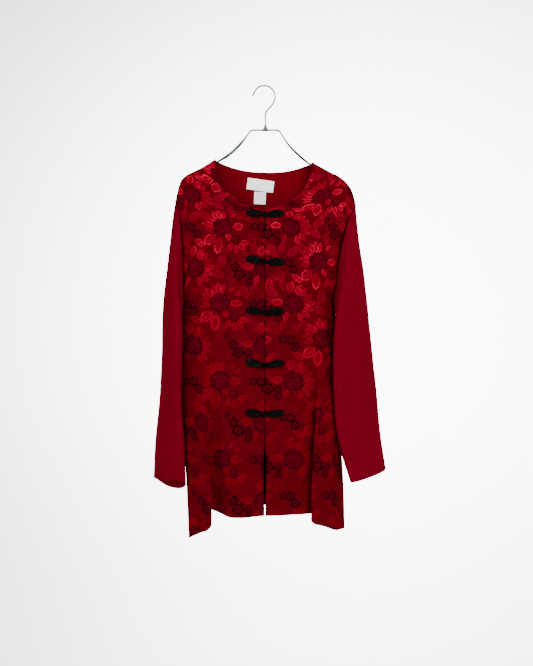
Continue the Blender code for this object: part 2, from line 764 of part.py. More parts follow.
def make_front(side, material):
    fold = LAP_FOLDS[side]["hem"][0]
    across = spread(FRONT_COLUMNS, 2.2, (fold, 0.93), 0.09)
    across, up = np.meshgrid(across, row_shares())
    outer = front_face(side, across, up)
    seam_out = RIGHT_SIDE_OUT if side == "right" else LEFT_SIDE_OUT
    if side == "right":
        outer = outer[:, ::-1]
    seam = 0 if side == "right" else -1
    lower = slice(0, LOW_ROWS + 1)
    upper = slice(LOW_ROWS + 1, None)
    arm_turn = 180 * (1 - (up[upper, 0] - UP_LOW) / (1 - UP_LOW))
    inward = (1, 0, 0) if side == "right" else (-1, 0, 0)
    outer, normals = with_seams(outer, outward(outer), (
        (lower, seam, seam_out, (0, -1, 0)),
        (upper, seam, armhole_out(side, arm_turn)[0], inward),
        (-1, ALL, over_shoulder(outer[-1]), (0, -1, 0))))
    points, faces = wall(outer, outer - normals * CLOTH)
    return solid("front_" + side, points, faces, material)


def make_back(material):
    crowded = tuple(LAP_FOLDS["back"]["hem"]) + NECK_ACROSS + (0.03, 0.97)
    across = spread(BACK_COLUMNS, 2.0, crowded, 0.04)
    for neck in NECK_ACROSS:
        across[np.argmin(np.abs(across - neck))] = neck
    across, up = np.meshgrid(across, row_shares())
    outer = back_face(across, up)
    lower = slice(0, LOW_ROWS + 1)
    upper = slice(LOW_ROWS + 1, None)
    own = outward(outer)
    on_neckline = np.abs(across[-1] - 0.5) < 0.5 - NECK_ACROSS[0]
    top = np.where(on_neckline[:, None], own[-1], over_shoulder(outer[-1]))
    arm_turn = 180 * (1 + (up[upper, 0] - UP_LOW) / (1 - UP_LOW))
    outer, normals = with_seams(outer, own.copy(), (
        (lower, 0, LEFT_SIDE_OUT, (0.53, 0.85, 0)),
        (lower, -1, RIGHT_SIDE_OUT, (0, 1, 0)),
        (upper, 0, armhole_out("left", arm_turn)[0], (-1, 0, 0)),
        (upper, -1, armhole_out("right", arm_turn)[0], (1, 0, 0)),
        (-1, ALL, top, (0, 1, 0))))
    points, faces = wall(outer, outer - normals * CLOTH)
    return solid("back", points, faces, material)


def sleeve_turns():
    """Turns at the panels' own rows, so that the corners of both pieces lie side by side."""
    high = (row_shares()[LOW_ROWS:] - UP_LOW) / (1 - UP_LOW)
    high = np.append(high[:-SLEEVE_SKIPS], 1.0)
    return np.concatenate((180 * (1 - high[::-1]), 180 + 180 * high[1:-1]))


def make_sleeve(side, material):
    turns = sleeve_turns()
    shares = spread(SLEEVE_RINGS, 0.9, (0.0,), 0.16)
    turn, share = np.meshgrid(turns, shares)
    outer = sleeve_face(side, turn, share)
    along = unit(np.roll(outer[0], -1, axis=0) - np.roll(outer[0], 1, axis=0))
    away = unit(outer[1] - outer[0])
    away = unit(away - along * np.sum(away * along, axis=-1, keepdims=True))
    _, sleeve_out, parted = armhole_out(side, turns)
    outer[0] += away * SLEEVE_GAP + parted * CREASE_GAP
    normals = outward(outer, closed=True)
    middle = outer.mean(axis=1, keepdims=True)
    if np.mean(np.sum(normals * (outer - middle), axis=-1)) < 0:
        normals = -normals
    normals[0] = sleeve_out
    points, faces = wall(outer, outer - normals * CLOTH, closed=True)
    return solid("sleeve_" + side, points, faces, material)


# ---------------------------------------------------------------- what lies on the panels
def place_on(face, start, x, z):
    """Points of a face at the given x and z, and the outward normals there.

    The shares across and up are corrected in turn until the face's own x and z agree.
    """
    across = np.full(x.shape, start[0])
    up = np.full(x.shape, start[1])
    small = 0.002
    for _ in range(12):
        here = face(across, up)
        aside = (face(across + small, up) - here) / small
        above = (face(across, up + small) - here) / small
        miss_x = x - here[..., 0]
        miss_z = z - here[..., 2]
        turned = aside[..., 0] * above[..., 2] - aside[..., 2] * above[..., 0]
        across = clamp(across + (miss_x * above[..., 2] - miss_z * above[..., 0]) / turned, 0, 0.9)
        up = clamp(up + (miss_z * aside[..., 0] - miss_x * aside[..., 2]) / turned, 0.02, 0.97)
    here = face(across, up)
    normal = unit(np.cross(face(across + small, up) - here, face(across, up + small) - here))
    return here, normal


def front_place(side, x, z):
    """Points and outward normals of the closed front, flat across the meeting edges."""
    sign = -1 if side == "right" else 1
    start_up = UP_LOW + 0.1 if np.mean(z) > UNDERARM_Z else UP_LOW * 0.6
    inside = CENTRE_X + sign * np.maximum(sign * (x - CENTRE_X), 0.6)
    here, normal = place_on(lambda a, u: front_face(side, a, u), (0.1, start_up), inside, z)
    here[..., 0] = x
    normal[normal[..., 1] > 0] *= -1
    return here, normal


def tilted(along, upward, degrees):
    angle = math.radians(degrees)
    return (along * math.cos(angle) - upward * math.sin(angle),
            along * math.sin(angle) + upward * math.cos(angle))


def make_knot_half(name, z, tilt, droop, material):
    """Pad, neck and knot: rings along the pad that turn up through the loop to the knot."""
    rows = KNOT_HALF
    angle = np.arange(KNOT_SIDES) * 2 * math.pi / KNOT_SIDES
    rise = np.radians(rows["rise"])[:, None]
    flat = rows["thick"][:, None] * np.sin(angle)
    upward = rows["wide"][:, None] * np.cos(angle)
    along = rows["along"][:, None] - flat * np.sin(rise)
    lift = rows["lift"][:, None] + flat * np.cos(rise)
    along, upward = tilted(along, upward, tilt)
    here, normal = front_place("right", KNOT_X + along, z - droop + upward)
    points, faces = capped(here + normal * (lift + PAD_LIFT)[..., None])
    return solid(name, points, faces, material, 60)


def make_loop_half(name, z, tilt, droop, material):
    """Pad and loop: a ring of sections round the hole that the knot's neck fills."""
    rows = LOOP_HALF
    outline = {key: np.concatenate((rows[key], rows[key][-2:0:-1])) for key in rows}
    outline["up"][len(rows["up"]):] *= -1
    reach = np.hypot(outline["along"], outline["up"])
    eye_x = EYE_RADIUS * outline["along"] / reach
    eye_z = EYE_RADIUS * outline["up"] / reach
    under, top = outline["under"], outline["top"]
    rim = top - (top - under) * PAD_EDGE
    eye_under, eye_top = rows["under"][0], rows["top"][0]
    rings = np.array((
        (eye_x, eye_z, np.full_like(eye_x, eye_under)),
        (outline["along"] * 0.97, outline["up"] * 0.94, under),
        (outline["along"], outline["up"], (rim + under) / 2),
        (outline["along"] * 0.97, outline["up"] * 0.90, rim),
        (eye_x + (outline["along"] - eye_x) * PAD_CROWN,
         eye_z + (outline["up"] - eye_z) * PAD_CROWN, np.maximum(top, eye_top)),
        (eye_x, eye_z, np.full_like(eye_x, eye_top))))
    along, upward = tilted(rings[:, 0], rings[:, 1], tilt)
    here, normal = front_place("left", KNOT_X + along, z - droop + upward)
    points = here + normal * (rings[:, 2] + PAD_LIFT)[..., None]
    count = points.shape[1]
    faces = grid_faces(len(rings), count, 0, True)
    last = (len(rings) - 1) * count
    for j in range(count):
        k = (j + 1) % count
        faces.append((last + j, last + k, k, j))
    return solid(name, points.reshape(-1, 3), faces, material, 60)


def make_label(name, row, material):
    """A label on the inside of the back, made from the back's own points."""
    half = np.array((LABELS["width"][row], LABELS["height"][row])) / 2
    along, upward = np.meshgrid(np.linspace(-half[0], half[0], 5),
                                np.linspace(-half[1], half[1], 3))
    along, upward = tilted(along, upward, LABELS["tilt"][row])
    here, normal = place_on(back_face, (0.5, 0.9), LABELS["x"][row] + along,
                            LABELS["z"][row] + upward)
    normal[normal[..., 1] < 0] *= -1
    lift = CLOTH + LABEL_LIFT + row * (LABEL_THICK + LABEL_LIFT)
    near = here - normal * lift
    points, faces = wall(near - normal * LABEL_THICK, near)
    return solid(name, points, faces, material)


# ---------------------------------------------------------------- hanger
def along_path(rows, counts):
    """Middle points and directions (x, z) of a path, smooth through its table's rows."""
    steps = np.hypot(np.diff(rows["x"]), np.diff(rows["z"]))
    distance = np.concatenate(([0.0], np.cumsum(steps)))
    at = np.interp(np.linspace(0, len(distance) - 1, counts), np.arange(len(distance)), distance)
    values = {key: smooth(distance, rows[key], at) for key in rows}
    heading = unit(np.stack((np.gradient(values["x"], at), np.gradient(values["z"], at)), axis=-1))
    return values, heading


def make_band(material):
    """The hanger's band: a rounded strip, level from front to back, along its path."""
    values, heading = along_path(BAND, len(BAND["x"]) * 2 - 1)
    angle = (np.arange(BAND_SIDES) + 0.5) * 2 * math.pi / BAND_SIDES
    deep = np.sign(np.cos(angle)) * np.abs(np.cos(angle)) ** 0.35
    thick = np.sign(np.sin(angle)) * np.abs(np.sin(angle)) ** 0.7
    y = values["depth"][:, None] / 2 * deep
    lift = values["thick"][:, None] / 2 * thick
    x = values["x"][:, None] - heading[:, 1:] * lift
    z = values["z"][:, None] + heading[:, :1] * lift
    points, faces = capped(np.stack((x, y, z), axis=-1))
    return solid("hanger_frame", points, faces, material)


def make_hook(material):
    """The hook and its boss: round sections along the hook's path."""
    values, heading = along_path(HOOK, len(HOOK["x"]) * 2 - 1)
    angle = np.arange(HOOK_SIDES) * 2 * math.pi / HOOK_SIDES
    radius = values["radius"][:, None]
    y = radius * np.cos(angle)
    lift = radius * np.sin(angle)
    x = values["x"][:, None] - heading[:, 1:] * lift
    z = values["z"][:, None] + heading[:, :1] * lift
    points, faces = capped(np.stack((x, y, z), axis=-1))
    return solid("hanger_hook", points, faces, material, 50)


# ---------------------------------------------------------------- the whole jacket
def main():
    for thing in list(bpy.data.objects):
        bpy.data.objects.remove(thing)
    jacquard = finish("floral_jacquard", (0.235, 0.002, 0.012), 0.42)
    crepe = finish("plain_crepe", (0.165, 0.001, 0.013), 0.68)
    cord = finish("black_satin_cord", (0.004, 0.005, 0.005), 0.45)
    woven = finish("label_tape", (0.80, 0.76, 0.76), 0.60)
    steel = finish("polished_steel", (0.62, 0.63, 0.65), 0.22, metallic=1.0)

    for side in ("right", "left"):
        make_front(side, jacquard)
        make_sleeve(side, crepe)
    make_back(jacquard)
    for i in range(len(FROGS["z"])):
        z, droop = FROGS["z"][i], FROGS["droop"][i]
        make_knot_half(f"frog_{i + 1}_knot", z, FROGS["knot_tilt"][i], droop, cord)
        make_loop_half(f"frog_{i + 1}_loop", z, FROGS["loop_tilt"][i], droop, cord)
    for row, name in enumerate(LABEL_NAMES):
        make_label(name, row, woven)
    make_band(steel)
    make_hook(steel)


main()
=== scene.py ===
# %% [markdown]
# # A tang jacket on a steel hanger
# The jacket is a collarless coat of floral jacquard with plain crepe sleeves, closed by five
# black cord frogs and hung on a bent steel band. A hanging jacket keeps one quiet shape, so
# each panel is a formula here and no cloth is simulated: two shares, across and up, give a
# point in space. The same formula serves for the cloth, for its creases and its flat size,
# and for the places of the frogs and labels that are sewn to it.

import math

import bpy
import numpy as np
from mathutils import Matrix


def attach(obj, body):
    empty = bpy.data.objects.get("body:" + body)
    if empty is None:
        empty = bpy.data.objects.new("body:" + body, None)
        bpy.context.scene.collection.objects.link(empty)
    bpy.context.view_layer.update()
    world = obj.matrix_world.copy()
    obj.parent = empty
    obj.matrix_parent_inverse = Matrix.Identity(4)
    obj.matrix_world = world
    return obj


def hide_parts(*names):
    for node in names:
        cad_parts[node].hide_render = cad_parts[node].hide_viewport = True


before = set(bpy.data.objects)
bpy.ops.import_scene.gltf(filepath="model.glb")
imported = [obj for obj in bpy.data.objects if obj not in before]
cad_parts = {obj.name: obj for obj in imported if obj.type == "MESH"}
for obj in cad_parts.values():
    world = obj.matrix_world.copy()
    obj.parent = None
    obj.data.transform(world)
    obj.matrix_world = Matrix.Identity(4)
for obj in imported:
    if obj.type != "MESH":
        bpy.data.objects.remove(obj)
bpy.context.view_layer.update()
MM = 0.001
print("nodes of the frame:", len(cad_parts))

# %% [markdown]
# ## The camera
# The camera stands level with the middle of the jacket, 2.4 m in front of it. A long lens
# would flatten the sleeves, and a short one would spread them: this one is 59 mm on a 36 mm
# film.

# %% Camera
VIEW_X, VIEW_Y, VIEW_Z = 0.00506, -2.4, -0.5423
lens = bpy.data.cameras.new("camera")
lens.lens = 58.97
camera = bpy.data.objects.new("camera", lens)
camera.location = (VIEW_X, VIEW_Y, VIEW_Z)
camera.rotation_euler = (math.pi / 2, 0, 0)
bpy.context.scene.collection.objects.link(camera)
bpy.context.scene.camera = camera
print("camera at", tuple(round(value, 3) for value in camera.location))

# %% [markdown]
# ## Curves through short tables
# A pattern cutter writes a garment down as a few measures at a few heights. The tables below do
# the same, in millimetres, and one smooth curve reads them at any place. It is a cubic that
# passes through each row and leaves it in the direction of that row's two neighbours.


# %% Tables and the curve that reads them
def table(columns, *rows):
    """A short table as a dictionary from column name to its numbers."""
    return dict(zip(columns.split(), np.array(rows, dtype=float).T))


def clamp(value, low=0.0, high=1.0):
    return np.minimum(np.maximum(value, low), high)


def ease(share):
    """0 to 1 with level ends: three times the square less twice the cube."""
    share = clamp(share)
    return share * share * (3 - 2 * share)


def bell(distance, width):
    """1 at distance 0, falling away on both sides: e to the minus square of distance / width."""
    return np.exp(-(distance / width) ** 2)


def smooth(xs, ys, at):
    """The smooth curve through the points (xs, ys), read at `at`: a cubic between neighbours."""
    at = clamp(np.asarray(at, dtype=float), xs[0], xs[-1])
    slope = np.gradient(ys, xs)
    left = np.clip(np.searchsorted(xs, at, side="right") - 1, 0, len(xs) - 2)
    step = xs[left + 1] - xs[left]
    t = (at - xs[left]) / step
    start = ys[left] * (1 + 2 * t) * (1 - t) ** 2 + slope[left] * step * t * (1 - t) ** 2
    end = ys[left + 1] * (3 - 2 * t) * t * t - slope[left + 1] * step * t * t * (1 - t)
    return start + end


def read(rows, key, column, at):
    return smooth(rows[key], rows[column], at)


def read_round(turns, values, at):
    """The same curve for a closed loop whose `turns` run once round in degrees."""
    turns = np.concatenate((turns[-2:] - 360, turns, turns[:2] + 360))
    values = np.concatenate((values[-2:], values, values[:2]))
    return smooth(turns, values, np.mod(at, 360))


def unit(vectors):
    return vectors / np.maximum(np.linalg.norm(vectors, axis=-1, keepdims=True), 1e-9)


# %% [markdown]
# ## The body of the jacket
# The body is a boxy tube: six heights give its side seams, and nine give how far the middle of
# the front and of the back stand off the hanger. Armholes are closed loops, and the shoulders
# are the line that the hanger's band holds up. From the waist down the loose cloth has nowhere
# else to go and doubles over: each front has one such deep fold, and the back has two.

# %% Measures of the body
SEAM = 0.4                  # space between two pieces at a seam
CENTRE_X = 1.0              # the front edges meet here, a little beside the hook
UNDERARM_Z = -470.0
NECK_FRONT_Z = -271.0       # lowest point of the front neckline
NECK_BACK_Z = -187.0        # lowest point of the back neckline
NECK_CURVE = 2.35           # 2 is a parabola, larger is flatter in the middle
BAND_DROP = 12.0            # height over which the cloth turns down off the band
BAND_CORNER = 5.0           # 2 turns down in a round arc, larger lies flatter and turns sooner
BAND_FADE = 45.0            # height over which the shoulder takes on the body's own section
BAND_REACH = 0.80           # the band's tips lie at this share of the shoulder's width
SQUARENESS = 3.6            # 2 is an oval body section, larger is boxier
NOMINAL_SECTION = (168.0, 55.0)   # half width and depth that even out the columns

UP_LOW = 0.50               # share of `up` that lies below the underarm
NECK_SHARE = 0.50           # share of the upper front edge that is still the straight edge
FOLD_GROWTH = 1.25          # a fold reaches its whole depth this much sooner than the hem

# Side seams and depths of the body, by height. `flare` is how far the back stands out past the
# left side seam, which lies a little in front of the side.
BODY = table(
    "z     right_x right_y left_x left_y flare",
    (-980, -165, -6, 161, -40, 25),
    (-870, -170, -5, 157, -38, 26),
    (-740, -179, -4, 153, -30, 20),
    (-610, -181, -3, 153, -14, 8),
    (-498, -179, -1, 156, -2, 1),
    (UNDERARM_Z, -178, 0, 154, 0, 0))

# How far the middle of the front and of the back stand off the hanger's plane, by height.
DEPTH = table(
    "z     front back",
    (-980, 68, 66),
    (-870, 64, 62),
    (-740, 57, 56),
    (-610, 50, 49),
    (-470, 42, 41),
    (-370, 34, 34),
    (-290, 25, 26),
    (-220, 17, 18),
    (-150, 13.5, 13.5))

# Armholes, by turn in degrees: 0 at the shoulder, 90 in front, 180 under the arm, 270 behind.
ARMHOLE = {
    "right": table(
        "turn x     y    z",
        (0, -195, 0, -255),
        (45, -182, -17, -287),
        (90, -176, -21, -360),
        (135, -177, -15, -437),
        (180, -178, 0, UNDERARM_Z),
        (225, -178, 19, -437),
        (270, -177, 28, -360),
        (315, -184, 19, -287)),
    "left": table(
        "turn x     y    z",
        (0, 202, 0, -261),
        (45, 183, -17, -292),
        (90, 164, -21, -362),
        (135, 157, -15, -437),
        (180, 154, 0, UNDERARM_Z),
        (225, 160, 19, -437),
        (270, 168, 28, -362),
        (315, 185, 19, -292))}

# Height of the shoulder seam along the shoulder.
SHOULDER = {
    "right": table(
        "x     z",
        (-195, -255),
        (-186, -217),
        (-172, -198),
        (-158, -190),
        (-136, -179),
        (-107, -161)),
    "left": table(
        "x     z",
        (105, -167),
        (140, -187),
        (168, -202),
        (184, -217),
        (194, -234),
        (202, -261))}

# The fronts are loose below the last frog: the space between them, by height.
SLIT = table(
    "z     width",
    (-980, 3.0),
    (-934, 3.0),
    (-905, 3.6),
    (-870, 5.8),
    (-838, 6.6),
    (-805, 4.6),
    (-775, 1.6),
    (-755, 0.0),
    (-740, 0.0))

# Height of the hem, by share across each panel: a front from its edge to its side seam, the
# back from the left side seam to the right one.
HEM = {
    "right": table(
        "across z",
        (0.00, -934),
        (0.42, -934),
        (0.50, -926),
        (0.555, -915),
        (0.605, -913),
        (0.632, -948),
        (0.66, -961),
        (0.72, -972),
        (0.80, -980),
        (0.93, -989),
        (1.00, -986)),
    "left": table(
        "across z",
        (0.00, -934),
        (0.25, -933),
        (0.50, -931),
        (0.61, -933),
        (0.64, -941),
        (0.68, -950),
        (0.74, -957),
        (0.85, -965),
        (1.00, -969)),
    "back": table(
        "across z",
        (0.00, -968),
        (0.06, -970),
        (0.14, -950),
        (0.22, -942),
        (0.50, -930),
        (0.80, -936),
        (0.86, -940),
        (0.92, -958),
        (1.00, -986))}

# Folds that double the cloth over: share across at the hem and at the top of the fold, half
# width (share), depth front to back, lean (how far the crest laps the valley), height of the top.
LAP_FOLDS = {
    "right": table(
        "hem   top   half  depth lean z_top",
        (0.588, 0.572, 0.052, 14, 13, -590)),
    "left": table(
        "hem   top   half  depth lean z_top",
        (0.590, 0.700, 0.056, 13, 15, -540)),
    "back": table(
        "hem   top   half  depth lean z_top",
        (0.245, 0.255, 0.030, 10, 10, -560),
        (0.760, 0.745, 0.030, 11, 11, -560))}

# Soft valleys that only bend the cloth, in the same columns without a lean.
SOFT_FOLDS = {
    "right": table(
        "hem   top   half  depth z_top",
        (0.27, 0.30, 0.075, 4.5, -560),
        (0.475, 0.480, 0.050, 13, -590)),
    "left": table(
        "hem   top   half  depth z_top",
        (0.33, 0.33, 0.080, 4.0, -560),
        (0.530, 0.650, 0.050, 9, -560)),
    "back": table(
        "hem   top   half  depth z_top",
        (0.42, 0.44, 0.035, 5.0, -420),
        (0.585, 0.560, 0.030, 6.0, -470))}
print("overall body from", SHOULDER["right"]["z"].max(), "to", HEM["right"]["z"].min(), "mm")

# %% [markdown]
# ## From two shares to a point
# A front is stretched between four borders: front edge, armhole, shoulder and underarm line. A
# point inside is the sum of the two straight blends between opposite borders, less the blend of
# the corners, which they'd count twice. Below the underarm the section is a boxy oval instead.


# %% The face of a front
def armhole(side, turn):
    """Points of an armhole at the given turns."""
    loop = ARMHOLE[side]
    return np.stack([read_round(loop["turn"], loop[axis], turn) for axis in "xyz"], axis=-1)


def section_table():
    """A quarter of the body's section: share along it, width share and depth share."""
    angle = np.linspace(0, math.pi / 2, 1501)
    wide = np.sin(angle) ** (2 / SQUARENESS)
    deep = np.cos(angle) ** (2 / SQUARENESS)
    steps = np.hypot(np.diff(wide) * NOMINAL_SECTION[0], np.diff(deep) * NOMINAL_SECTION[1])
    share = np.concatenate(([0.0], np.cumsum(steps)))
    return share / share[-1], wide, deep


QUARTER_SHARE, QUARTER_WIDE, QUARTER_DEEP = section_table()
# The left front stops at this share of the quarter: its side seam lies in front of the side.
QUARTER_USED = {"right": 1.0, "left": 0.93}


def quarter(side, across):
    """Width share (0 to 1) and depth share (1 to 0) at a share across a front panel."""
    used = QUARTER_USED[side]
    wide = np.interp(across * used, QUARTER_SHARE, QUARTER_WIDE)
    deep = np.interp(across * used, QUARTER_SHARE, QUARTER_DEEP)
    last = np.interp(used, QUARTER_SHARE, QUARTER_DEEP)
    full = np.interp(used, QUARTER_SHARE, QUARTER_WIDE)
    return wide / full, (deep - last) / (1 - last)


def shoulder_end(side):
    return ARMHOLE[side]["x"][0]


def neck_point(side):
    rows = SHOULDER[side]
    at = -1 if side == "right" else 0
    return rows["x"][at], rows["z"][at]


def ridge(side, wide):
    """Height and place of the shoulder seam at a width share from neck point to armhole."""
    start = neck_point(side)[0]
    x = start + (shoulder_end(side) - start) * wide
    return x, read(SHOULDER[side], "x", "z", x)


def front_edge(side, high):
    """The front's inner edge above the underarm: straight up, then a quarter oval to the neck."""
    neck_x, neck_z = neck_point(side)
    straight = clamp(high / NECK_SHARE)
    angle = clamp((high - NECK_SHARE) / (1 - NECK_SHARE)) * math.pi / 2
    x = CENTRE_X + (neck_x - CENTRE_X) * np.sin(angle)
    z = UNDERARM_Z + (NECK_FRONT_Z - UNDERARM_Z) * straight
    z = z + (neck_z - NECK_FRONT_Z) * (1 - np.cos(angle))
    return x, z


def off_band(fall):
    """Share of its depth that the cloth has, `fall` below the ridge where it lies on the band."""
    return (1 - (1 - clamp(fall / BAND_DROP)) ** BAND_CORNER) ** (1 / BAND_CORNER)


def flat_on_band(wide, deep, fall):
    """Depth share near the shoulder seam: whole over the band, rounded off past its tips."""
    rounded = np.maximum(ease(fall / BAND_FADE), ease((wide - BAND_REACH) / (1 - BAND_REACH)))
    return 1 - (1 - deep) * rounded


def folds(panel, across, z):
    """Shift along the panel and outwards that its folds give, at a share across and a height."""
    shift = np.zeros_like(across + z)
    out = np.zeros_like(across + z)
    hem_z = BODY["z"][0]
    rows = LAP_FOLDS[panel]
    for i in range(len(rows["hem"])):
        down = clamp((z - rows["z_top"][i]) / (hem_z - rows["z_top"][i]))
        grown = ease(down * FOLD_GROWTH)
        middle = rows["top"][i] + (rows["hem"][i] - rows["top"][i]) * down
        place = (across - middle) / rows["half"][i]
        wave = place * np.exp((1 - place * place) / 2)
        shift -= grown * rows["lean"][i] * wave
        out += grown * rows["depth"][i] * wave
    rows = SOFT_FOLDS[panel]
    for i in range(len(rows["hem"])):
        down = clamp((z - rows["z_top"][i]) / (hem_z - rows["z_top"][i]))
        middle = rows["top"][i] + (rows["hem"][i] - rows["top"][i]) * down
        place = (across - middle) / rows["half"][i]
        out -= ease(down * FOLD_GROWTH) * rows["depth"][i] * np.exp(-place * place)
    return shift, out


def front_face(side, across, up):
    """Outer face of a front panel: `across` from front edge to side seam, `up` from the hem."""
    sign = -1 if side == "right" else 1
    wide, deep = quarter(side, across)
    hem = read(HEM[side], "across", "z", across)
    low = clamp(up / UP_LOW)
    z_low = hem + (UNDERARM_Z - hem) * low
    seam_x = read(BODY, "z", side + "_x", z_low)
    seam_y = read(BODY, "z", side + "_y", z_low)
    loose = read(SLIT, "z", "width", z_low) / 2 + SEAM / 2
    x_low = CENTRE_X + sign * loose * (1 - wide) + (seam_x - CENTRE_X) * wide
    y_low = seam_y * (1 - deep) - read(DEPTH, "z", "front", z_low) * deep
    shift, out = folds(side, across, z_low)

    high = clamp((up - UP_LOW) / (1 - UP_LOW))
    edge_x, edge_z = front_edge(side, high)
    arm = armhole(side, 180 * (1 - high))
    top_x, top_z = ridge(side, wide)
    under_x = CENTRE_X + (ARMHOLE[side]["x"][4] - CENTRE_X) * wide
    neck_x, neck_z = neck_point(side)
    x_high = ((1 - high) * under_x + high * top_x + (1 - wide) * edge_x + wide * arm[..., 0]
              - (1 - wide) * ((1 - high) * CENTRE_X + high * neck_x)
              - wide * ((1 - high) * ARMHOLE[side]["x"][4] + high * shoulder_end(side)))
    z_high = ((1 - high) * UNDERARM_Z + high * top_z + (1 - wide) * edge_z + wide * arm[..., 2]
              - (1 - wide) * ((1 - high) * UNDERARM_Z + high * neck_z)
              - wide * ((1 - high) * UNDERARM_Z + high * ARMHOLE[side]["z"][0]))
    x_high = x_high + sign * SEAM / 2 * (1 - wide) * (high <= NECK_SHARE)
    depth = off_band(top_z - z_high) * read(DEPTH, "z", "front", z_high)
    deep = flat_on_band(wide, deep, top_z - z_high)
    y_high = arm[..., 1] * (1 - deep) - depth * deep

    upper = high > 0
    x = np.where(upper, x_high, x_low + sign * shift)
    y = np.where(upper, y_high, y_low - out)
    return np.stack((x, y, np.where(upper, z_high, z_low)), axis=-1)


print("the right hem ends at z", round(float(front_face("right", np.array(1.0), np.array(0.0))[2])))

# %% [markdown]
# ## The back's face
# The back is one piece, so its section is the whole oval from the left side seam to the right.
# Its top edge is the left shoulder, the neckline and the right shoulder in one line.

# %% The face of the back
NECK_ACROSS = (0.30, 0.70)  # shares across the back at which its two neck points lie
FLARE_SHARE = 0.24          # share of the back over which it stands out past the left side seam
FLARE_ROUND = 0.8           # 1 is a sine wave, smaller is fuller at its ends


def back_top(across):
    """Top edge of the back: left shoulder seam, back neckline and right shoulder seam."""
    left_x, left_z = neck_point("left")
    right_x, right_z = neck_point("right")
    first, last = NECK_ACROSS
    neck = clamp((across - first) / (last - first))
    x_neck = left_x + (right_x - left_x) * neck
    sag = 1 - np.abs(2 * neck - 1) ** NECK_CURVE
    z_neck = left_z + (right_z - left_z) * neck
    z_neck = z_neck + (NECK_BACK_Z - (left_z + right_z) / 2) * sag
    x_left, z_left = ridge("left", back_shoulder(across))
    x_right, z_right = ridge("right", back_shoulder(across))
    x = np.where(across < first, x_left, np.where(across > last, x_right, x_neck))
    z = np.where(across < first, z_left, np.where(across > last, z_right, z_neck))
    ridge_z = np.where(across < first, z_left, np.where(across > last, z_right,
                                                       left_z + (right_z - left_z) * neck))
    return x, z, ridge_z


def back_section(across):
    """Width place (-1 left to 1 right) and depth share across the back's section."""
    half = np.abs(2 * across - 1)
    wide = np.interp(half, QUARTER_SHARE, QUARTER_WIDE)
    deep = np.interp(half, QUARTER_SHARE, QUARTER_DEEP)
    return np.sign(2 * across - 1) * wide, deep


def back_shoulder(across):
    """Width share from the neck point (0) to the armhole (1) at a share across the back."""
    neck_place = abs(back_section(NECK_ACROSS[0])[0])
    return clamp((np.abs(back_section(across)[0]) - neck_place) / (1 - neck_place))


def back_face(across, up):
    """Outer face of the back: `across` from the left side seam to the right one."""
    place, deep = back_section(across)
    to_right = (place + 1) / 2
    hem = read(HEM["back"], "across", "z", across)
    low = clamp(up / UP_LOW)
    z_low = hem + (UNDERARM_Z - hem) * low
    left_x, right_x = (read(BODY, "z", name, z_low) for name in ("left_x", "right_x"))
    left_y, right_y = (read(BODY, "z", name, z_low) for name in ("left_y", "right_y"))
    seam_y = np.where(place < 0, left_y, right_y)
    bulge = np.abs(np.sin(math.pi * clamp(across / FLARE_SHARE))) ** FLARE_ROUND
    shift, out = folds("back", across, z_low)
    x_low = left_x + (right_x - left_x) * to_right + read(BODY, "z", "flare", z_low) * bulge
    y_low = seam_y * (1 - deep) + read(DEPTH, "z", "back", z_low) * deep

    high = clamp((up - UP_LOW) / (1 - UP_LOW))
    left = armhole("left", 180 + 180 * high)
    right = armhole("right", 180 + 180 * high)
    top_x, top_z, ridge_z = back_top(across)
    under = (ARMHOLE["left"]["x"][4], ARMHOLE["right"]["x"][4])
    ends = (shoulder_end("left"), shoulder_end("right"))
    tips = (ARMHOLE["left"]["z"][0], ARMHOLE["right"]["z"][0])
    x_high = ((1 - high) * (under[0] + (under[1] - under[0]) * to_right) + high * top_x
              + (1 - to_right) * left[..., 0] + to_right * right[..., 0]
              - (1 - to_right) * ((1 - high) * under[0] + high * ends[0])
              - to_right * ((1 - high) * under[1] + high * ends[1]))
    z_high = ((1 - high) * UNDERARM_Z + high * top_z
              + (1 - to_right) * left[..., 2] + to_right * right[..., 2]
              - (1 - to_right) * ((1 - high) * UNDERARM_Z + high * tips[0])
              - to_right * ((1 - high) * UNDERARM_Z + high * tips[1]))
    depth = off_band(ridge_z - z_high) * read(DEPTH, "z", "back", z_high)
    arm_y = np.where(place < 0, left[..., 1], right[..., 1])
    deep = flat_on_band(back_shoulder(across), deep, ridge_z - z_high)
    y_high = arm_y * (1 - deep) + depth * deep

    upper = high > 0
    x = np.where(upper, x_high, x_low - shift)
    y = np.where(upper, y_high, y_low + out)
    return np.stack((x, y, np.where(upper, z_high, z_low)), axis=-1)


print("the back neckline is at z", round(float(back_face(np.array(0.5), np.array(1.0))[2])))

# %% [markdown]
# ## Creases placed one by one
# Real cloth is never the plain formula: it drags from the neck points, puckers where a sleeve is
# eased in, and breaks softly at the elbow. Noise would spread the same wrinkle everywhere, so
# every crease here is one row: it runs from one place on the flat cloth to another, bows
# sideways, and is a soft trough (minus) or ridge (plus). No two are alike.


# %% Creases, hems and grids
def creases(rows, wide, high):
    """Height off the cloth: each row adds a bell across its bowed line, eased out at its ends."""
    total = np.zeros_like(wide + high)
    for i in range(len(rows["lift"])):
        run = np.array((rows["u1"][i] - rows["u0"][i], rows["v1"][i] - rows["v0"][i]))
        reach = np.hypot(*run)
        run = run / reach
        along = ((wide - rows["u0"][i]) * run[0] + (high - rows["v0"][i]) * run[1]) / reach
        aside = (wide - rows["u0"][i]) * run[1] - (high - rows["v0"][i]) * run[0]
        aside = aside - rows["bow"][i] * 4 * along * (1 - along)
        ends = ease(along / 0.4) * ease((1 - along) / 0.4)
        total += rows["lift"][i] * bell(aside, rows["width"][i]) * ends
    return total


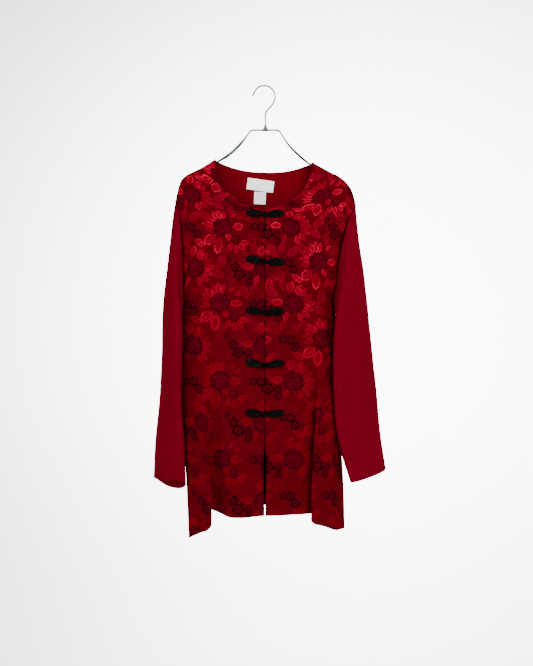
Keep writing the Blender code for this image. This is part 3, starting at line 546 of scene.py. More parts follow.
def rolled(distance, radius):
    """How far a rounded edge sinks at a distance from it: radius less a quarter circle."""
    near = 1 - clamp(distance / radius)
    return radius * (1 - np.sqrt(np.maximum(1 - near * near, 0)))


def run_length(points, axis):
    """Distance run along one direction of a grid of points, from its first row."""
    steps = np.linalg.norm(np.diff(points, axis=axis), axis=-1)
    start = np.zeros_like(np.take(steps, [0], axis=axis))
    return np.concatenate((start, np.cumsum(steps, axis=axis)), axis=axis)


def outward(points, closed=False):
    """Unit normals of a grid of points: the cross product of its two directions."""
    if closed:
        ahead = np.roll(points, -1, axis=1) - np.roll(points, 1, axis=1)
    else:
        ahead = np.gradient(points, axis=1)
    return unit(np.cross(ahead, np.gradient(points, axis=0)))


def spread(count, crowd, places, reach):
    """Shares from 0 to 1, closer together near the given places."""
    fine = np.linspace(0, 1, 2401)
    weight = 1 + crowd * sum(bell(fine - place, reach) for place in places)
    total = np.concatenate(([0.0], np.cumsum((weight[1:] + weight[:-1]) / 2)))
    return np.interp(np.linspace(0, 1, count), total / total[-1], fine)


def grid_quads(rows, columns, first=0, closed=False):
    """Corner numbers of a grid's quads: each corner with its three neighbours ahead and up."""
    i, j = np.meshgrid(np.arange(rows - 1), np.arange(columns if closed else columns - 1),
                       indexing="ij")
    k = (j + 1) % columns
    quads = (i * columns + j, i * columns + k, (i + 1) * columns + k, (i + 1) * columns + j)
    return first + np.stack(quads, axis=-1).reshape(-1, 4)


def rim_quads(edge, far_edge):
    """Quads between two equal rows of corners."""
    return np.stack((edge[:-1], far_edge[:-1], far_edge[1:], edge[1:]), axis=-1)


print("a 2 mm edge sinks", round(float(rolled(0.0, 2.0)), 2), "mm at its end")

# %% [markdown]
# ## From a grid to a piece of cloth
# Blender's Solidify could thicken a sheet, but it can't make a hem thicker than the rest. So
# the inner face is a second grid, laid inside the first by the cloth's own thickness, and the
# rims join the two. The mesh carries two maps in metres: `cloth`, which runs along the threads
# as the flat pattern piece did, and `edges`, whose first number is how far the nearest sewn
# edge is.


# %% Meshes with their maps
def make_mesh(name, points, quads, materials, inner=None, maps=()):
    """One object from points in millimetres; `inner` marks the quads of the second material."""
    mesh = bpy.data.meshes.new(name)
    mesh.from_pydata((points * MM).tolist(), [], quads.tolist())
    mesh.polygons.foreach_set("use_smooth", np.ones(len(quads), dtype=bool))
    corners = np.asarray(quads).reshape(-1)
    for title, values in maps:
        layer = mesh.uv_layers.new(name=title)
        layer.uv.foreach_set("vector", (values[corners] * MM).astype(np.float32).ravel())
    for material in materials:
        mesh.materials.append(material)
    if inner is not None:
        mesh.polygons.foreach_set("material_index", inner.astype(np.int32))
    mesh.validate()
    thing = bpy.data.objects.new(name, mesh)
    bpy.context.scene.collection.objects.link(thing)
    return thing


def cloth_piece(name, outer, thick, maps, materials, closed=False):
    """A closed wall of cloth: outer grid, inner grid `thick` behind it, and rims between."""
    rows, columns = outer.shape[:2]
    normals = outward(outer, closed)
    inner = outer - normals * thick[..., None]
    points = np.concatenate((outer.reshape(-1, 3), inner.reshape(-1, 3)))
    far = rows * columns
    face = grid_quads(rows, columns, 0, closed)
    back = grid_quads(rows, columns, far, closed)[:, ::-1]
    number = np.arange(far).reshape(rows, columns)
    top = np.append(number[-1], number[-1, 0]) if closed else number[-1]
    bottom = np.append(number[0], number[0, 0]) if closed else number[0]
    rims = [rim_quads(top, top + far)[:, ::-1], rim_quads(bottom, bottom + far)]
    if not closed:
        rims += [rim_quads(number[:, 0], number[:, 0] + far)[:, ::-1],
                 rim_quads(number[:, -1], number[:, -1] + far)]
    rims = np.concatenate(rims)[:, ::-1]
    quads = np.concatenate((face, back, rims))
    is_inner = np.concatenate((np.zeros(len(face)), np.ones(len(back)), np.zeros(len(rims))))
    doubled = [(title, np.concatenate((values.reshape(-1, 2),) * 2)) for title, values in maps]
    piece = make_mesh(name, points, quads, materials, is_inner, doubled)
    print(name, "has", len(quads) * 2, "triangles")
    return piece

# %% [markdown]
# ## A way to write materials
# A material in Blender is a small machine of nodes. One function adds a node, sets it and links
# what feeds it, so that each finish below reads as a list of steps. Colours are written as
# they'd be mixed on a screen and turned to linear light once.


# %% Nodes and colours
def linear(colour):
    """sRGB hex to linear light: the standard curve, low values divided by 12.92."""
    values = np.array([int(colour[i:i + 2], 16) for i in (1, 3, 5)]) / 255
    light = np.where(values <= 0.04045, values / 12.92, ((values + 0.055) / 1.055) ** 2.4)
    return (*light.tolist(), 1.0)


def new_material(name):
    material = bpy.data.materials.new(name)
    material.use_nodes = True
    material.node_tree.nodes.clear()
    return material, material.node_tree


def add(tree, kind, *values, out=0, sockets=None, **settings):
    """Add a node: settings first, then its inputs in order or by name. Gives one output."""
    node = tree.nodes.new("ShaderNode" + kind)
    for name, setting in settings.items():
        setattr(node, name, setting)
    given = dict(enumerate(values))
    given.update(sockets or {})
    for place, value in given.items():
        if isinstance(value, bpy.types.NodeSocket):
            tree.links.new(value, node.inputs[place])
        elif value is not None:
            node.inputs[place].default_value = value
    return node.outputs[out]


def mix(tree, share, first, second):
    """The colour `first` where share is 0 and `second` where it is 1."""
    return add(tree, "Mix", sockets={0: share, 6: first, 7: second}, out=2, data_type="RGBA")


def between(tree, value, low, high, start=0.0, end=1.0):
    """A soft step: `start` below low, `end` above high, eased between them."""
    return add(tree, "MapRange", value, low, high, start, end, interpolation_type="SMOOTHSTEP")


def times(tree, first, second):
    return add(tree, "Math", first, second, operation="MULTIPLY")


def darkened(tree, colour, share):
    """A colour times a share: black where it is 0 and unchanged where it is 1."""
    return add(tree, "Mix", sockets={0: 1.0, 6: colour, 7: share}, out=2, data_type="RGBA",
               blend_type="MULTIPLY")


def noise(tree, place, scale, detail):
    """Soft noise: `scale` patches in a unit of the map, broken up by `detail` finer layers."""
    return add(tree, "TexNoise", place, sockets={"Scale": scale, "Detail": detail})


def stretched(tree, place, *scale):
    """The map scaled by its own number each way, so that a texture on it is drawn out."""
    return add(tree, "Mapping", place, sockets={"Scale": scale})


def finish_material(tree, sockets):
    """Close a material with its Principled surface."""
    surface = add(tree, "BsdfPrincipled", sockets=sockets)
    output = tree.nodes.new("ShaderNodeOutputMaterial")
    tree.links.new(surface, output.inputs["Surface"])


print("deep red in linear light:", [round(value, 3) for value in linear("#8A0A1C")])

# %% [markdown]
# ## Crepe
# Crepe is woven from hard-twisted yarn that shrinks into a fine, irregular grain. It is matte,
# with a faint bloom where the fibres stand up, so it has high roughness and a little sheen. The
# real grain is about 0.4 mm across and would vanish here, so it is drawn 1 mm wide and
# stretched along the warp, as coarse as it needs to show.


# %% Plain crepe, for the sleeves and the wrong side of the jacquard
def crepe(name, light, dark, rough, deep=1.0, seam=1.0):
    """Burgundy crepe: two close reds in a long grain.

    `deep` is the share of its colour that is left low on a panel, as painted shade, and `seam` the
    share that is left in the armhole's seam below the shoulder, as a painted shadow. Within 1.6 mm
    of a sewn edge the colour is also darkened, as painted shade.
    """
    material, tree = new_material(name)
    place = add(tree, "UVMap", uv_map="cloth")
    grain = noise(tree, stretched(tree, place, 1000, 260, 1), 1.0, 3.0)
    slub = noise(tree, stretched(tree, place, 420, 22, 1), 1.0, 2.0)
    cloud = noise(tree, place, 9.0, 2.0)
    tone = times(tree, grain, 0.55)
    tone = add(tree, "Math", slub, 0.45, tone, operation="MULTIPLY_ADD")
    tone = between(tree, tone, 0.32, 0.68)
    body = mix(tree, tone, linear(dark), linear(light))
    worn = between(tree, cloud, 0.35, 0.75, 0.0, 0.35)
    colour = mix(tree, worn, body, linear(light))
    # Painted shade: the colour is darker within 1.6 mm of a sewn edge, where the edge rolls away,
    # and lower on a panel, towards the hem, it falls to `deep` of itself.
    edge = add(tree, "SeparateXYZ", add(tree, "UVMap", uv_map="edges"))
    painted_edge_and_low_shade = between(tree, edge, 0.0, 0.0016, 0.55, 1.0)
    height = add(tree, "SeparateXYZ", place, out=1)
    painted_edge_and_low_shade = times(tree, painted_edge_and_low_shade, between(tree, height, -0.30, -0.02, deep, 1.0))
    # Painted shadow: below the shoulder, in the first 4 to 9 mm past the armhole, the colour falls
    # to `seam` of itself, for the dark crease where the sleeve meets the body.
    level = add(tree, "SeparateXYZ", add(tree, "TexCoord", out=3), out=2)
    painted_seam_shadow = between(tree, level, -0.31, -0.27, seam, 1.0)
    painted_seam_shadow = add(tree, "Math", painted_seam_shadow, between(tree, height, 0.004, 0.009), operation="MAXIMUM")
    colour = darkened(tree, colour, times(tree, painted_edge_and_low_shade, painted_seam_shadow))
    relief = add(tree, "Math", slub, 0.5, grain, operation="MULTIPLY_ADD")
    bump = add(tree, "Bump", sockets={"Strength": 0.35, "Distance": 0.0006, "Height": relief})
    finish_material(tree, {"Base Color": colour, "Roughness": rough, "Specular IOR Level": 0.0,
                           "Sheen Weight": 0.03, "Sheen Roughness": 0.45,
                           "Sheen Tint": linear("#E04A5C"), "Normal": bump})
    return material


# Painted shade: the sleeves' `seam` of 0.12 paints the shadow in the crease by the armhole, and the
# wrong sides' `deep` paints shade low down, 0.55 on the fronts and 0.10 on the back.
sleeve_crepe = crepe("burgundy_crepe", "#5E0015", "#4E000F", 0.80, seam=0.12)
wrong_side = crepe("jacquard_wrong_side", "#5C0012", "#4E000C", 0.75, 0.55)
painted_shade_back_side = crepe("back_wrong_side", "#5C0012", "#4E000C", 0.75, 0.10)
print("crepe finishes:", sleeve_crepe.name, wrong_side.name, painted_shade_back_side.name)

# %% [markdown]
# ## Jacquard
# A jacquard loom draws with floats: warp lies long and loose on the face where a petal should
# shine, and is tied down tightly where the ground should stay dull. The pattern repeats every
# 159 by 168 mm. Roses and small five-petalled flowers are outlined in near-black thread, and
# fans of pointed leaves in bright red satin. A drawn picture would do this too, but a formula
# keeps its edges sharp at any distance: the cloth's map is wrapped round each motif's middle,
# so that a motif is one short sum wherever it is repeated.

# %% The pattern's repeat
REPEAT = (159.0, 168.0)
# Leaves: middle, length, width and heading in degrees. A leaf is all places where the square of
# the share along plus the share across is less than 1, which comes to a point at both ends.
LEAVES = table(
    "x    y    length width heading",
    (33, -82, 23, 11, 191),
    (32, -71, 26, 11, 172),
    (36, -61, 24, 12, 153),
    (41, -53, 27, 11, 134),
    (50, -47, 23, 11, 117),
    (59, -44, 26, 11, 98),
    (69, -45, 22, 10, 80),
    (99, -77, 27, 16, 3),
    (90, -46, 18, 9, 42),
    (102, -56, 16, 9, 18),
    (34, -106, 34, 22, 215),
    (54, -119, 37, 21, -100),
    (77, -100, 18, 11, -68),
    (82, -122, 21, 11, -118),
    (95, -127, 20, 11, -84),
    (108, -122, 20, 11, -48),
    (115, -113, 19, 12, -8),
    (16, -116, 21, 12, 200),
    (11, -139, 23, 14, 82),
    (23, 25, 22, 11, 54),
    (31, 13, 23, 11, 30),
    (36, 1, 26, 11, 5),
    (34, -11, 23, 11, -18),
    (27, -22, 23, 11, -44),
    (15, -29, 20, 11, -70),
    (-35, 4, 28, 16, 177),
    (-5, 37, 26, 17, 74),
    (17, 35, 19, 7, 60),
    (9, 57, 23, 14, 150),
    (31, 66, 24, 15, 28),
    (-16, -27, 21, 11, -112))
# Flowers: middle, half width and height, petals, how deep the notches are, and a turn. Roses
# carry dark strokes inside a dark edge, and small flowers have a dark edge and a dark eye.
ROSES = table(
    "x   y    wide tall petals notch turn",
    (0, 0, 20.5, 19.5, 9, 0.07, 0.4),
    (64, -76, 21.0, 19.0, 7, 0.10, 1.3),
    (94, -106, 9.5, 10.5, 5, 0.10, 0.2))
SMALL_FLOWERS = table(
    "x   y    wide tall petals notch turn",
    (79, -149, 5.8, 5.8, 5, 0.14, 0.0),
    (94, -166, 9.5, 9.5, 5, 0.15, 0.9),
    (104, -183, 12.0, 11.0, 5, 0.16, 2.2),
    (-22, -77, 8.2, 8.0, 5, 0.14, 1.1),
    (-6, -78, 9.4, 9.0, 5, 0.15, 0.3),
    (4, -93, 9.4, 9.4, 5, 0.16, 1.9),
    (-33, -16, 7.4, 7.0, 5, 0.14, 0.6),
    (-32, -31, 7.0, 7.0, 5, 0.14, 1.7))
# Leaves woven only a little brighter than the ground, without an outline.
FAINT_LEAVES = table(
    "x    y    length width heading",
    (-48, 26, 36, 20, 150),
    (-62, 4, 32, 18, 205),
    (62, 14, 36, 20, 60),
    (57, -14, 32, 17, -30),
    (-28, 62, 34, 20, 110),
    (-72, -24, 32, 17, 80),
    (-44, -52, 36, 20, 130),
    (4, -54, 34, 18, 40),
    (-20, 40, 28, 16, -50),
    (66, 38, 30, 17, 140),
    (-22, -46, 27, 15, 250),
    (26, -48, 28, 15, 100))
OUTLINE = 0.84              # share of the way out at which a leaf's outline runs
print("leaves in a repeat:", len(LEAVES["x"]), "flowers:", len(ROSES["x"]) + len(SMALL_FLOWERS["x"]))


# %% Motifs as sums of the cloth's map
def around(tree, place, x, y):
    """The map measured from a motif's middle, wrapped so that it holds in every repeat."""
    offset = add(tree, "VectorMath", place, (x, y, 0.0), operation="SUBTRACT")
    half = (REPEAT[0] / 2, REPEAT[1] / 2, 1.0)
    return add(tree, "VectorMath", offset, half, tuple(-value for value in half), operation="WRAP")


def leaf_level(tree, place, rows):
    """0 inside a leaf and 1 at its edge, and how far the nearest outline of any leaf is."""
    level, line = None, None
    for x, y, length, width, heading in zip(*rows.values()):
        from_middle = around(tree, place, x, y)
        c, s = math.cos(math.radians(heading)), math.sin(math.radians(heading))
        along = add(tree, "VectorMath", from_middle, (c * 2 / length, s * 2 / length, 0.0),
                    operation="DOT_PRODUCT", out=1)
        aside = add(tree, "VectorMath", from_middle, (-s * 2 / width, c * 2 / width, 0.0),
                    operation="DOT_PRODUCT", out=1)
        aside = add(tree, "Math", aside, operation="ABSOLUTE")
        own = add(tree, "Math", along, along, aside, operation="MULTIPLY_ADD")
        level = own if level is None else add(tree, "Math", level, own, operation="MINIMUM")
        off = add(tree, "VectorMath", own, (OUTLINE, OUTLINE, OUTLINE), operation="DISTANCE",
                  out=1)
        line = off if line is None else add(tree, "Math", line, off, operation="MINIMUM")
    return level, line


def flower_level(tree, place, rows):
    """Share of the way from a flower's middle to its scalloped edge, the least over all."""
    level = None
    for x, y, wide, tall, petals, notch, turn in zip(*rows.values()):
        from_middle = around(tree, place, x, y)
        scaled = add(tree, "VectorMath", from_middle, (1 / wide, 1 / tall, 0.0),
                     operation="MULTIPLY")
        reach = add(tree, "VectorMath", scaled, operation="LENGTH", out=1)
        parts = tree.nodes.new("ShaderNodeSeparateXYZ")
        tree.links.new(scaled, parts.inputs[0])
        angle = add(tree, "Math", parts.outputs[1], parts.outputs[0], operation="ARCTAN2")
        lobes = add(tree, "Math", angle, petals / 2, turn, operation="MULTIPLY_ADD")
        lobes = add(tree, "Math", add(tree, "Math", lobes, operation="SINE"),
                    operation="ABSOLUTE")
        lobes = add(tree, "Math", lobes, -2.2 * notch, 1 + 1.4 * notch, operation="MULTIPLY_ADD")
        own = times(tree, reach, lobes)
        level = own if level is None else add(tree, "Math", level, own, operation="MINIMUM")
    return level


# %% The jacquard itself
def jacquard(name):
    """Dull ground, satin leaves with bright edges, and dark outlined flowers, in silk."""
    material, tree = new_material(name)
    metres = add(tree, "UVMap", uv_map="cloth")
    flat = add(tree, "VectorMath", metres, (1000.0, 1000.0, 0.0), operation="MULTIPLY")
    stray = add(tree, "TexNoise", flat, out=1,
                sockets={"Scale": 0.23, "Detail": 4.0, "Roughness": 0.80})
    stray = add(tree, "VectorMath", stray, (0.5, 0.5, 0.5), operation="SUBTRACT")
    place = add(tree, "VectorMath", stray, (11.0, 11.0, 0.0), flat, operation="MULTIPLY_ADD")
    broken = noise(tree, flat, 0.32, 2.0)
    leaf, line = leaf_level(tree, place, LEAVES)
    faint, faint_line = leaf_level(tree, place, FAINT_LEAVES)
    scribble = add(tree, "TexWave", place, out=1,
                   sockets={"Scale": 0.055, "Distortion": 7.0, "Detail": 2.0,
                            "Detail Scale": 2.6}, bands_direction="DIAGONAL")
    rose = flower_level(tree, place, ROSES)
    small = flower_level(tree, place, SMALL_FLOWERS)

    # Painted sheen: leaves, their outlines and the faint leaves are painted brightest high on a
    # panel, where the satin floats catch the light, and fall to a tenth towards the hem; patches
    # vary this at random.
    height = add(tree, "SeparateXYZ", metres, out=1)
    bright = between(tree, height, -0.34, 0.24, 0.10, 1.0)
    patch = noise(tree, metres, 22.0, 1.0)
    bright = times(tree, bright, between(tree, patch, 0.34, 0.60, 0.30, 1.0))
    floats = noise(tree, stretched(tree, metres, 260, 1500, 1), 1.0, 2.0)
    weft = noise(tree, stretched(tree, metres, 35, 480, 1), 1.0, 3.0)

    ground = mix(tree, between(tree, weft, 0.30, 0.75), linear("#42000A"), linear("#4C000D"))
    in_faint = times(tree, between(tree, faint, 0.80, 1.04, 1.0, 0.0), bright)
    under = mix(tree, in_faint, ground, linear("#5E0012"))
    veined = between(tree, faint_line, 0.04, 0.20, 1.0, 0.0)
    veined = times(tree, veined, between(tree, broken, 0.40, 0.55))
    veined = times(tree, veined, in_faint)
    under = mix(tree, veined, under, linear("#9A0A2A"))
    in_leaf = between(tree, leaf, 0.94, 1.04, 1.0, 0.0)
    on_edge = between(tree, line, 0.08, 0.26, 1.0, 0.0)
    on_edge = times(tree, on_edge, between(tree, broken, 0.36, 0.50, 0.15, 1.0))
    on_edge = times(tree, on_edge, in_leaf)
    # Leaf fill and outlines: the pattern's own reds, raised by the painted sheen. The bright outline
    # red also stands in for the shine of satin thread, as a painted highlight.
    filled = mix(tree, bright, linear("#50000C"), linear("#6A0015"))
    edged = mix(tree, bright, linear("#600010"), linear("#C00A34"))
    colour = mix(tree, in_leaf, under, filled)
    colour = mix(tree, on_edge, colour, edged)
    in_rose = between(tree, rose, 0.98, 1.04, 1.0, 0.0)
    rose_edge = between(tree, rose, 0.86, 0.93, 0.0, 0.9)
    strokes = between(tree, scribble, 0.55, 0.80, 0.0, 0.65)
    dark = add(tree, "Math", rose_edge, strokes, operation="MAXIMUM")
    petals = mix(tree, dark, linear("#48000D"), linear("#180307"))
    colour = mix(tree, in_rose, colour, petals)
    in_small = between(tree, small, 0.98, 1.08, 1.0, 0.0)
    outline = between(tree, small, 0.66, 0.78)
    eye = between(tree, small, 0.14, 0.24, 1.0, 0.0)
    outline = add(tree, "Math", outline, eye, operation="MAXIMUM")
    blossom = mix(tree, outline, linear("#40000A"), linear("#140206"))
    colour = mix(tree, in_small, colour, blossom)

    # Painted shade: darker within 1.4 mm of a sewn edge, where the edge rolls away.
    edge = add(tree, "SeparateXYZ", add(tree, "UVMap", uv_map="edges"))
    colour = darkened(tree, colour, between(tree, edge, 0.0, 0.0014, 0.6, 1.0))
    shine = add(tree, "Math", in_leaf, in_rose, operation="MAXIMUM")
    rough = between(tree, shine, 0.0, 1.0, 0.62, 0.44)
    raised = add(tree, "Math", floats, 0.6, shine, operation="MULTIPLY_ADD")
    bump = add(tree, "Bump", sockets={"Strength": 0.30, "Distance": 0.0005, "Height": raised})
    finish_material(tree, {"Base Color": colour, "Roughness": rough, "Specular IOR Level": 0.0,
                           "Normal": bump})
    return material


floral_jacquard = jacquard("floral_silk_jacquard")
print("jacquard has", len(floral_jacquard.node_tree.nodes), "nodes")

# %% [markdown]
# ## The two fronts
# Each front is one piece of jacquard from the neckline to the hem. Its hem is turned up 25 mm
# and sewn by hand, so it is thicker there and a shallow groove shows where the thread pulls.
# The front edges and the neckline are faced and turned, which makes them round. Each panel is
# cut from its own place in the pattern, so the motifs break off where two panels meet.

# %% Cloth thickness, hems and creases of the panels
CLOTH = 0.7                 # thickness of the silk
HEM_TURN = 25.0             # depth of the turned hem
HEM_THICK = 0.9             # what the turned part adds behind
FACING = 7.0                # the facing is caught down this far from the front edge
HEM_STITCH = (0.45, 9.0)    # depth of the groove, and from one stitch to the next
FACING_STITCH = (0.25, 4.0)
CREASES = {
    "right": table(
        "u0   v0   u1   v1   bow width lift",
        (-118, 268, -60, 60, 10, 13, -0.9),
        (-160, 230, -120, 20, -8, 15, -1.0),
        (-150, 120, -135, -160, 6, 14, 1.2),
        (-60, 40, -70, -250, -7, 22, 1.4),
        (-100, 10, -110, -260, 9, 20, -1.5),
        (-24, -60, -30, -240, 5, 12, -0.7),
        (-10, 140, -70, 105, 4, 8, -0.8),
        (-8, 30, -60, 12, -5, 8, -0.7),
        (-8, -75, -74, -110, 6, 9, -0.8),
        (-10, -190, -80, -216, -4, 10, -0.8),
        (-34, -250, -28, -455, 6, 13, 1.6),
        (-64, -280, -70, -460, -6, 12, -1.4),
        (-150, -180, -160, -440, -8, 16, -1.6),
        (-172, -220, -178, -460, 5, 12, 1.2),
        (-186, 60, -168, -60, 6, 9, -1.0),
        (-188, 30, -140, -50, -9, 11, 0.8)),
    "left": table(
        "u0   v0   u1   v1   bow width lift",
        (112, 262, 66, 70, -9, 13, -0.9),
        (150, 215, 118, 10, 8, 14, -0.9),
        (56, 60, 62, -220, 8, 20, -1.3),
        (92, 30, 84, -250, -7, 21, 1.5),
        (24, -30, 30, -250, -5, 12, 0.8),
        (9, 150, 62, 128, -4, 8, -0.7),
        (8, 20, 66, -6, 5, 9, -0.8),
        (8, -95, 60, -112, 4, 8, -0.7),
        (9, -200, 82, -236, -6, 10, -0.9),
        (30, -270, 26, -458, -5, 12, 1.5),
        (62, -260, 70, -455, 7, 14, -1.5),
        (140, -150, 146, -440, 7, 15, -1.4),
        (166, 70, 150, -50, -5, 9, -1.0),
        (168, 20, 120, -70, 8, 11, 0.8)),
    "back": table(
        "u0   v0   u1   v1   bow width lift",
        (-120, 262, -50, 60, 9, 15, -1.0),
        (118, 258, 64, 40, -10, 14, -0.9),
        (-16, 255, -8, 30, 8, 17, 1.0),
        (-150, 150, -128, -180, 10, 18, 1.4),
        (146, 120, 122, -190, -9, 17, 1.3),
        (-70, 20, -62, -280, -9, 22, -1.6),
        (64, 30, 76, -260, 8, 20, -1.5),
        (20, -60, 26, -300, -6, 16, 1.1),
        (-30, -160, -36, -440, 7, 18, 1.6),
        (48, -220, 40, -455, -6, 15, 1.4),
        (-104, -240, -112, -450, 6, 14, 1.3),
        (112, -230, 122, -446, 5, 15, 1.4),
        (-176, 60, -120, -40, 8, 10, -0.9),
        (172, 50, 118, -56, -9, 11, -0.9),
        (-60, 245, 50, 238, -10, 14, -0.6))}


def shaped(outer, maps, sewn, lines, closed=False):
    """Move a grid along its normals: its creases and its sunk seams."""
    wide, high = maps[..., 0], maps[..., 1]
    lift = creases(lines, wide, high)
    for distance, radius in sewn:
        lift -= rolled(distance, radius)
    return outer + outward(outer, closed) * lift[..., None]


def stitched(distance, along, at, depth, step):
    """A sewn line at a distance from an edge: a groove, deeper at each stitch."""
    pull = 0.75 + 0.25 * np.cos(2 * math.pi * along / step)
    return depth * bell(distance - at, 1.5) * pull


# The repeat's middle lies here on each panel's own map.
SHIFT = {"right": (161.0, -71.0), "left": (-62.0, 7.0), "back": (40.0, 30.0)}
FRONT_GRID = (128, 236)
SEAM_ROLL = 0.8             # an edge is rounded off over this: at a seam, on top and in front
TOP_ROLL = 1.2
EDGE_ROLL = 1.3


def panel_rows(count):
    """Rows up a panel, closer together at the hem and where it turns over the band."""
    return spread(count, 3.0, (0.0, 1.0), 0.02)


def front_grid(side):
    fold = LAP_FOLDS[side]["hem"][0]
    across = spread(FRONT_GRID[0], 1.6, (0.0, fold, 1.0), 0.05)
    across, up = np.meshgrid(across, panel_rows(FRONT_GRID[1]))
    return front_face(side, across, up), across, up


def sew_front(side):
    """One front: its face, its flat map, its creases, and then its wall."""
    sign = -1 if side == "right" else 1
    outer, across, up = front_grid(side)
    under = np.argmin(np.abs(up[:, 0] - UP_LOW))
    start = np.abs(outer[:, :1, 0] - CENTRE_X)
    from_hem = run_length(outer, 0)
    from_edge = run_length(outer, 1)
    from_side = run_length(outer[:, ::-1], 1)[:, ::-1]
    from_top = run_length(outer[::-1], 0)[::-1]
    wide = sign * (start + from_edge)
    high = from_hem - from_hem[under]
    flat = np.stack((wide, high), axis=-1)
    rolls = ((from_side, SEAM_ROLL), (from_top, TOP_ROLL), (from_edge, EDGE_ROLL))
    outer = shaped(outer, flat, rolls, CREASES[side])
    groove = stitched(from_hem, wide, HEM_TURN, *HEM_STITCH)
    groove += stitched(from_edge, high, FACING, *FACING_STITCH)
    outer -= outward(outer) * groove[..., None]
    turned = ease((HEM_TURN - from_hem) / 2) + ease((FACING - from_edge) / 2)
    thick = CLOTH + HEM_THICK * clamp(turned)
    sewn = np.minimum(np.minimum(from_side, from_top), np.minimum(from_edge, from_hem))
    if side == "right":
        outer, flat, thick, sewn = (grid[:, ::-1] for grid in (outer, flat, thick, sewn))
    maps = (("cloth", flat + np.array(SHIFT[side])),
            ("edges", np.stack((sewn, flat[..., 1]), axis=-1)))
    piece = cloth_piece("cloth_front_" + side, outer, thick, maps, (floral_jacquard, wrong_side))
    return piece, float(np.abs(flat[..., 0]).max()), float(np.ptp(flat[..., 1]))


fronts = {side: sew_front(side) for side in ("right", "left")}
for side, (piece, wide, high) in fronts.items():
    print(side, "front is cut", round(wide), "mm wide and", round(high), "mm long")

# %% [markdown]
# ## The back
# The back is one piece from side seam to side seam. It hangs a little fuller than the fronts
# and lies open at the neck, where its plain wrong side shows behind the labels.

# %% Back
BACK_GRID = (176, 236)
ALLOWANCE = (1.8, 3.0)      # how far the seam allowance runs inwards and forwards


def with_allowance(outer):
    """One more column at each side: it runs forwards inside the front and closes the seam.

    Only a tenth of it is left above the underarm, where the sleeve is set in.
    """
    share = 0.1 + 0.9 * clamp((UNDERARM_Z - 6 - outer[:, :1, 2:]) / 14)
    inwards, forwards = ALLOWANCE
    left, right = (np.array((way * inwards, -forwards, 0.0)) * share for way in (-1, 1))
    return np.concatenate((outer[:, :1] + left, outer, outer[:, -1:] + right), axis=1)


def sew_back():
    """The back: as a front, but its map runs from the middle to both sides."""
    crowded = tuple(LAP_FOLDS["back"]["hem"]) + NECK_ACROSS + (0.0, 1.0)
    across = spread(BACK_GRID[0], 1.6, crowded, 0.03)
    for neck in NECK_ACROSS:
        across[np.argmin(np.abs(across - neck))] = neck
    across, up = np.meshgrid(across, panel_rows(BACK_GRID[1]))
    outer = back_face(across, up)
    under = np.argmin(np.abs(up[:, 0] - UP_LOW))
    middle = np.argmin(np.abs(across[0] - 0.5))
    from_hem = run_length(outer, 0)
    from_left = run_length(outer, 1)
    from_right = run_length(outer[:, ::-1], 1)[:, ::-1]
    from_top = run_length(outer[::-1], 0)[::-1]
    wide = from_left - from_left[:, middle:middle + 1]
    high = from_hem - from_hem[under]
    flat = np.stack((wide, high), axis=-1)
    rolls = ((from_left, SEAM_ROLL), (from_right, SEAM_ROLL), (from_top, TOP_ROLL))
    outer = shaped(outer, flat, rolls, CREASES["back"])
    neck = np.abs(across - 0.5) < 0.5 - NECK_ACROSS[0]
    groove = stitched(from_hem, wide, HEM_TURN, *HEM_STITCH)
    groove += stitched(from_top, wide, FACING, *FACING_STITCH) * neck
    outer -= outward(outer) * groove[..., None]
    turned = ease((HEM_TURN - from_hem) / 2) + ease((FACING - from_top) / 2) * neck
    thick = CLOTH + HEM_THICK * clamp(turned)
    sewn = np.minimum(np.minimum(from_left, from_right), np.minimum(from_top, from_hem))
    outer = with_allowance(outer)
    flat, thick, sewn = (np.concatenate((grid[:, :1], grid, grid[:, -1:]), axis=1)
                         for grid in (flat, thick, sewn))
    maps = (("cloth", flat + np.array(SHIFT["back"])),
            ("edges", np.stack((sewn, flat[..., 1]), axis=-1)))
    piece = cloth_piece("cloth_back", outer, thick, maps, (floral_jacquard, painted_shade_back_side))
    return piece, float(np.ptp(wide[under])), float(np.ptp(high))


back_piece, back_wide, back_long = sew_back()
print("the back is cut", round(back_wide), "mm wide and", round(back_long), "mm long")

# %% [markdown]
# ## The sleeves
# A sleeve is one tube of crepe. It leaves the armhole's loop and turns, ring by ring, into a
# long flat oval that hangs beside the body with its broad side outwards. The cap is eased into
# the armhole, so small puckers run out of that seam, and the cloth breaks softly at the elbow.

# %% Sleeves
# Sleeves: rings from the armhole (share 0) to the cuff (share 1). Heights of a ring's outer,
# front, inner and back points, its middle, its half length and half thickness, and how far its
# long way turns from straight back, its front end towards the body.
SLEEVE = {
    "right": table(
        "share out   front inner back  x     y  long thin turn",
        (0.00, -256, -362, -476, -362, -191, 2, 34, 12, 0),
        (0.18, -368, -425, -496, -425, -197, 4, 58, 13.5, 8),
        (0.36, -482, -506, -540, -512, -202.5, 5, 76, 18.5, 13),
        (0.52, -592, -600, -618, -606, -205, 6, 76, 18, 14),
        (0.68, -690, -692, -704, -698, -207, 6, 72, 18, 19),
        (0.84, -782, -782, -793, -787, -209, 7, 67, 18, 28),
        (1.00, -867, -864, -886, -870, -209, 8, 65, 15, 35)),
    "left": table(
        "share out   front inner back  x     y  long thin turn",
        (0.00, -262, -364, -473, -364, 180, 2, 34, 17, 0),
        (0.18, -372, -430, -494, -425, 188, 4, 58, 23, 20),
        (0.36, -482, -515, -540, -506, 193, 6, 78, 20, 28),
        (0.52, -590, -606, -614, -598, 196, 7, 76, 18, 36),
        (0.68, -686, -696, -700, -688, 202, 8, 74, 17, 42),
        (0.84, -772, -784, -784, -768, 212, 9, 68, 16, 44),
        (1.00, -857, -866, -856, -847, 230, 10, 63, 15, 41))}
SLEEVE_ROUND = 0.9          # 1 is an oval ring, smaller is fuller at its corners
SLEEVE_SET = 0.22           # share over which a ring changes from the armhole's shape to its own


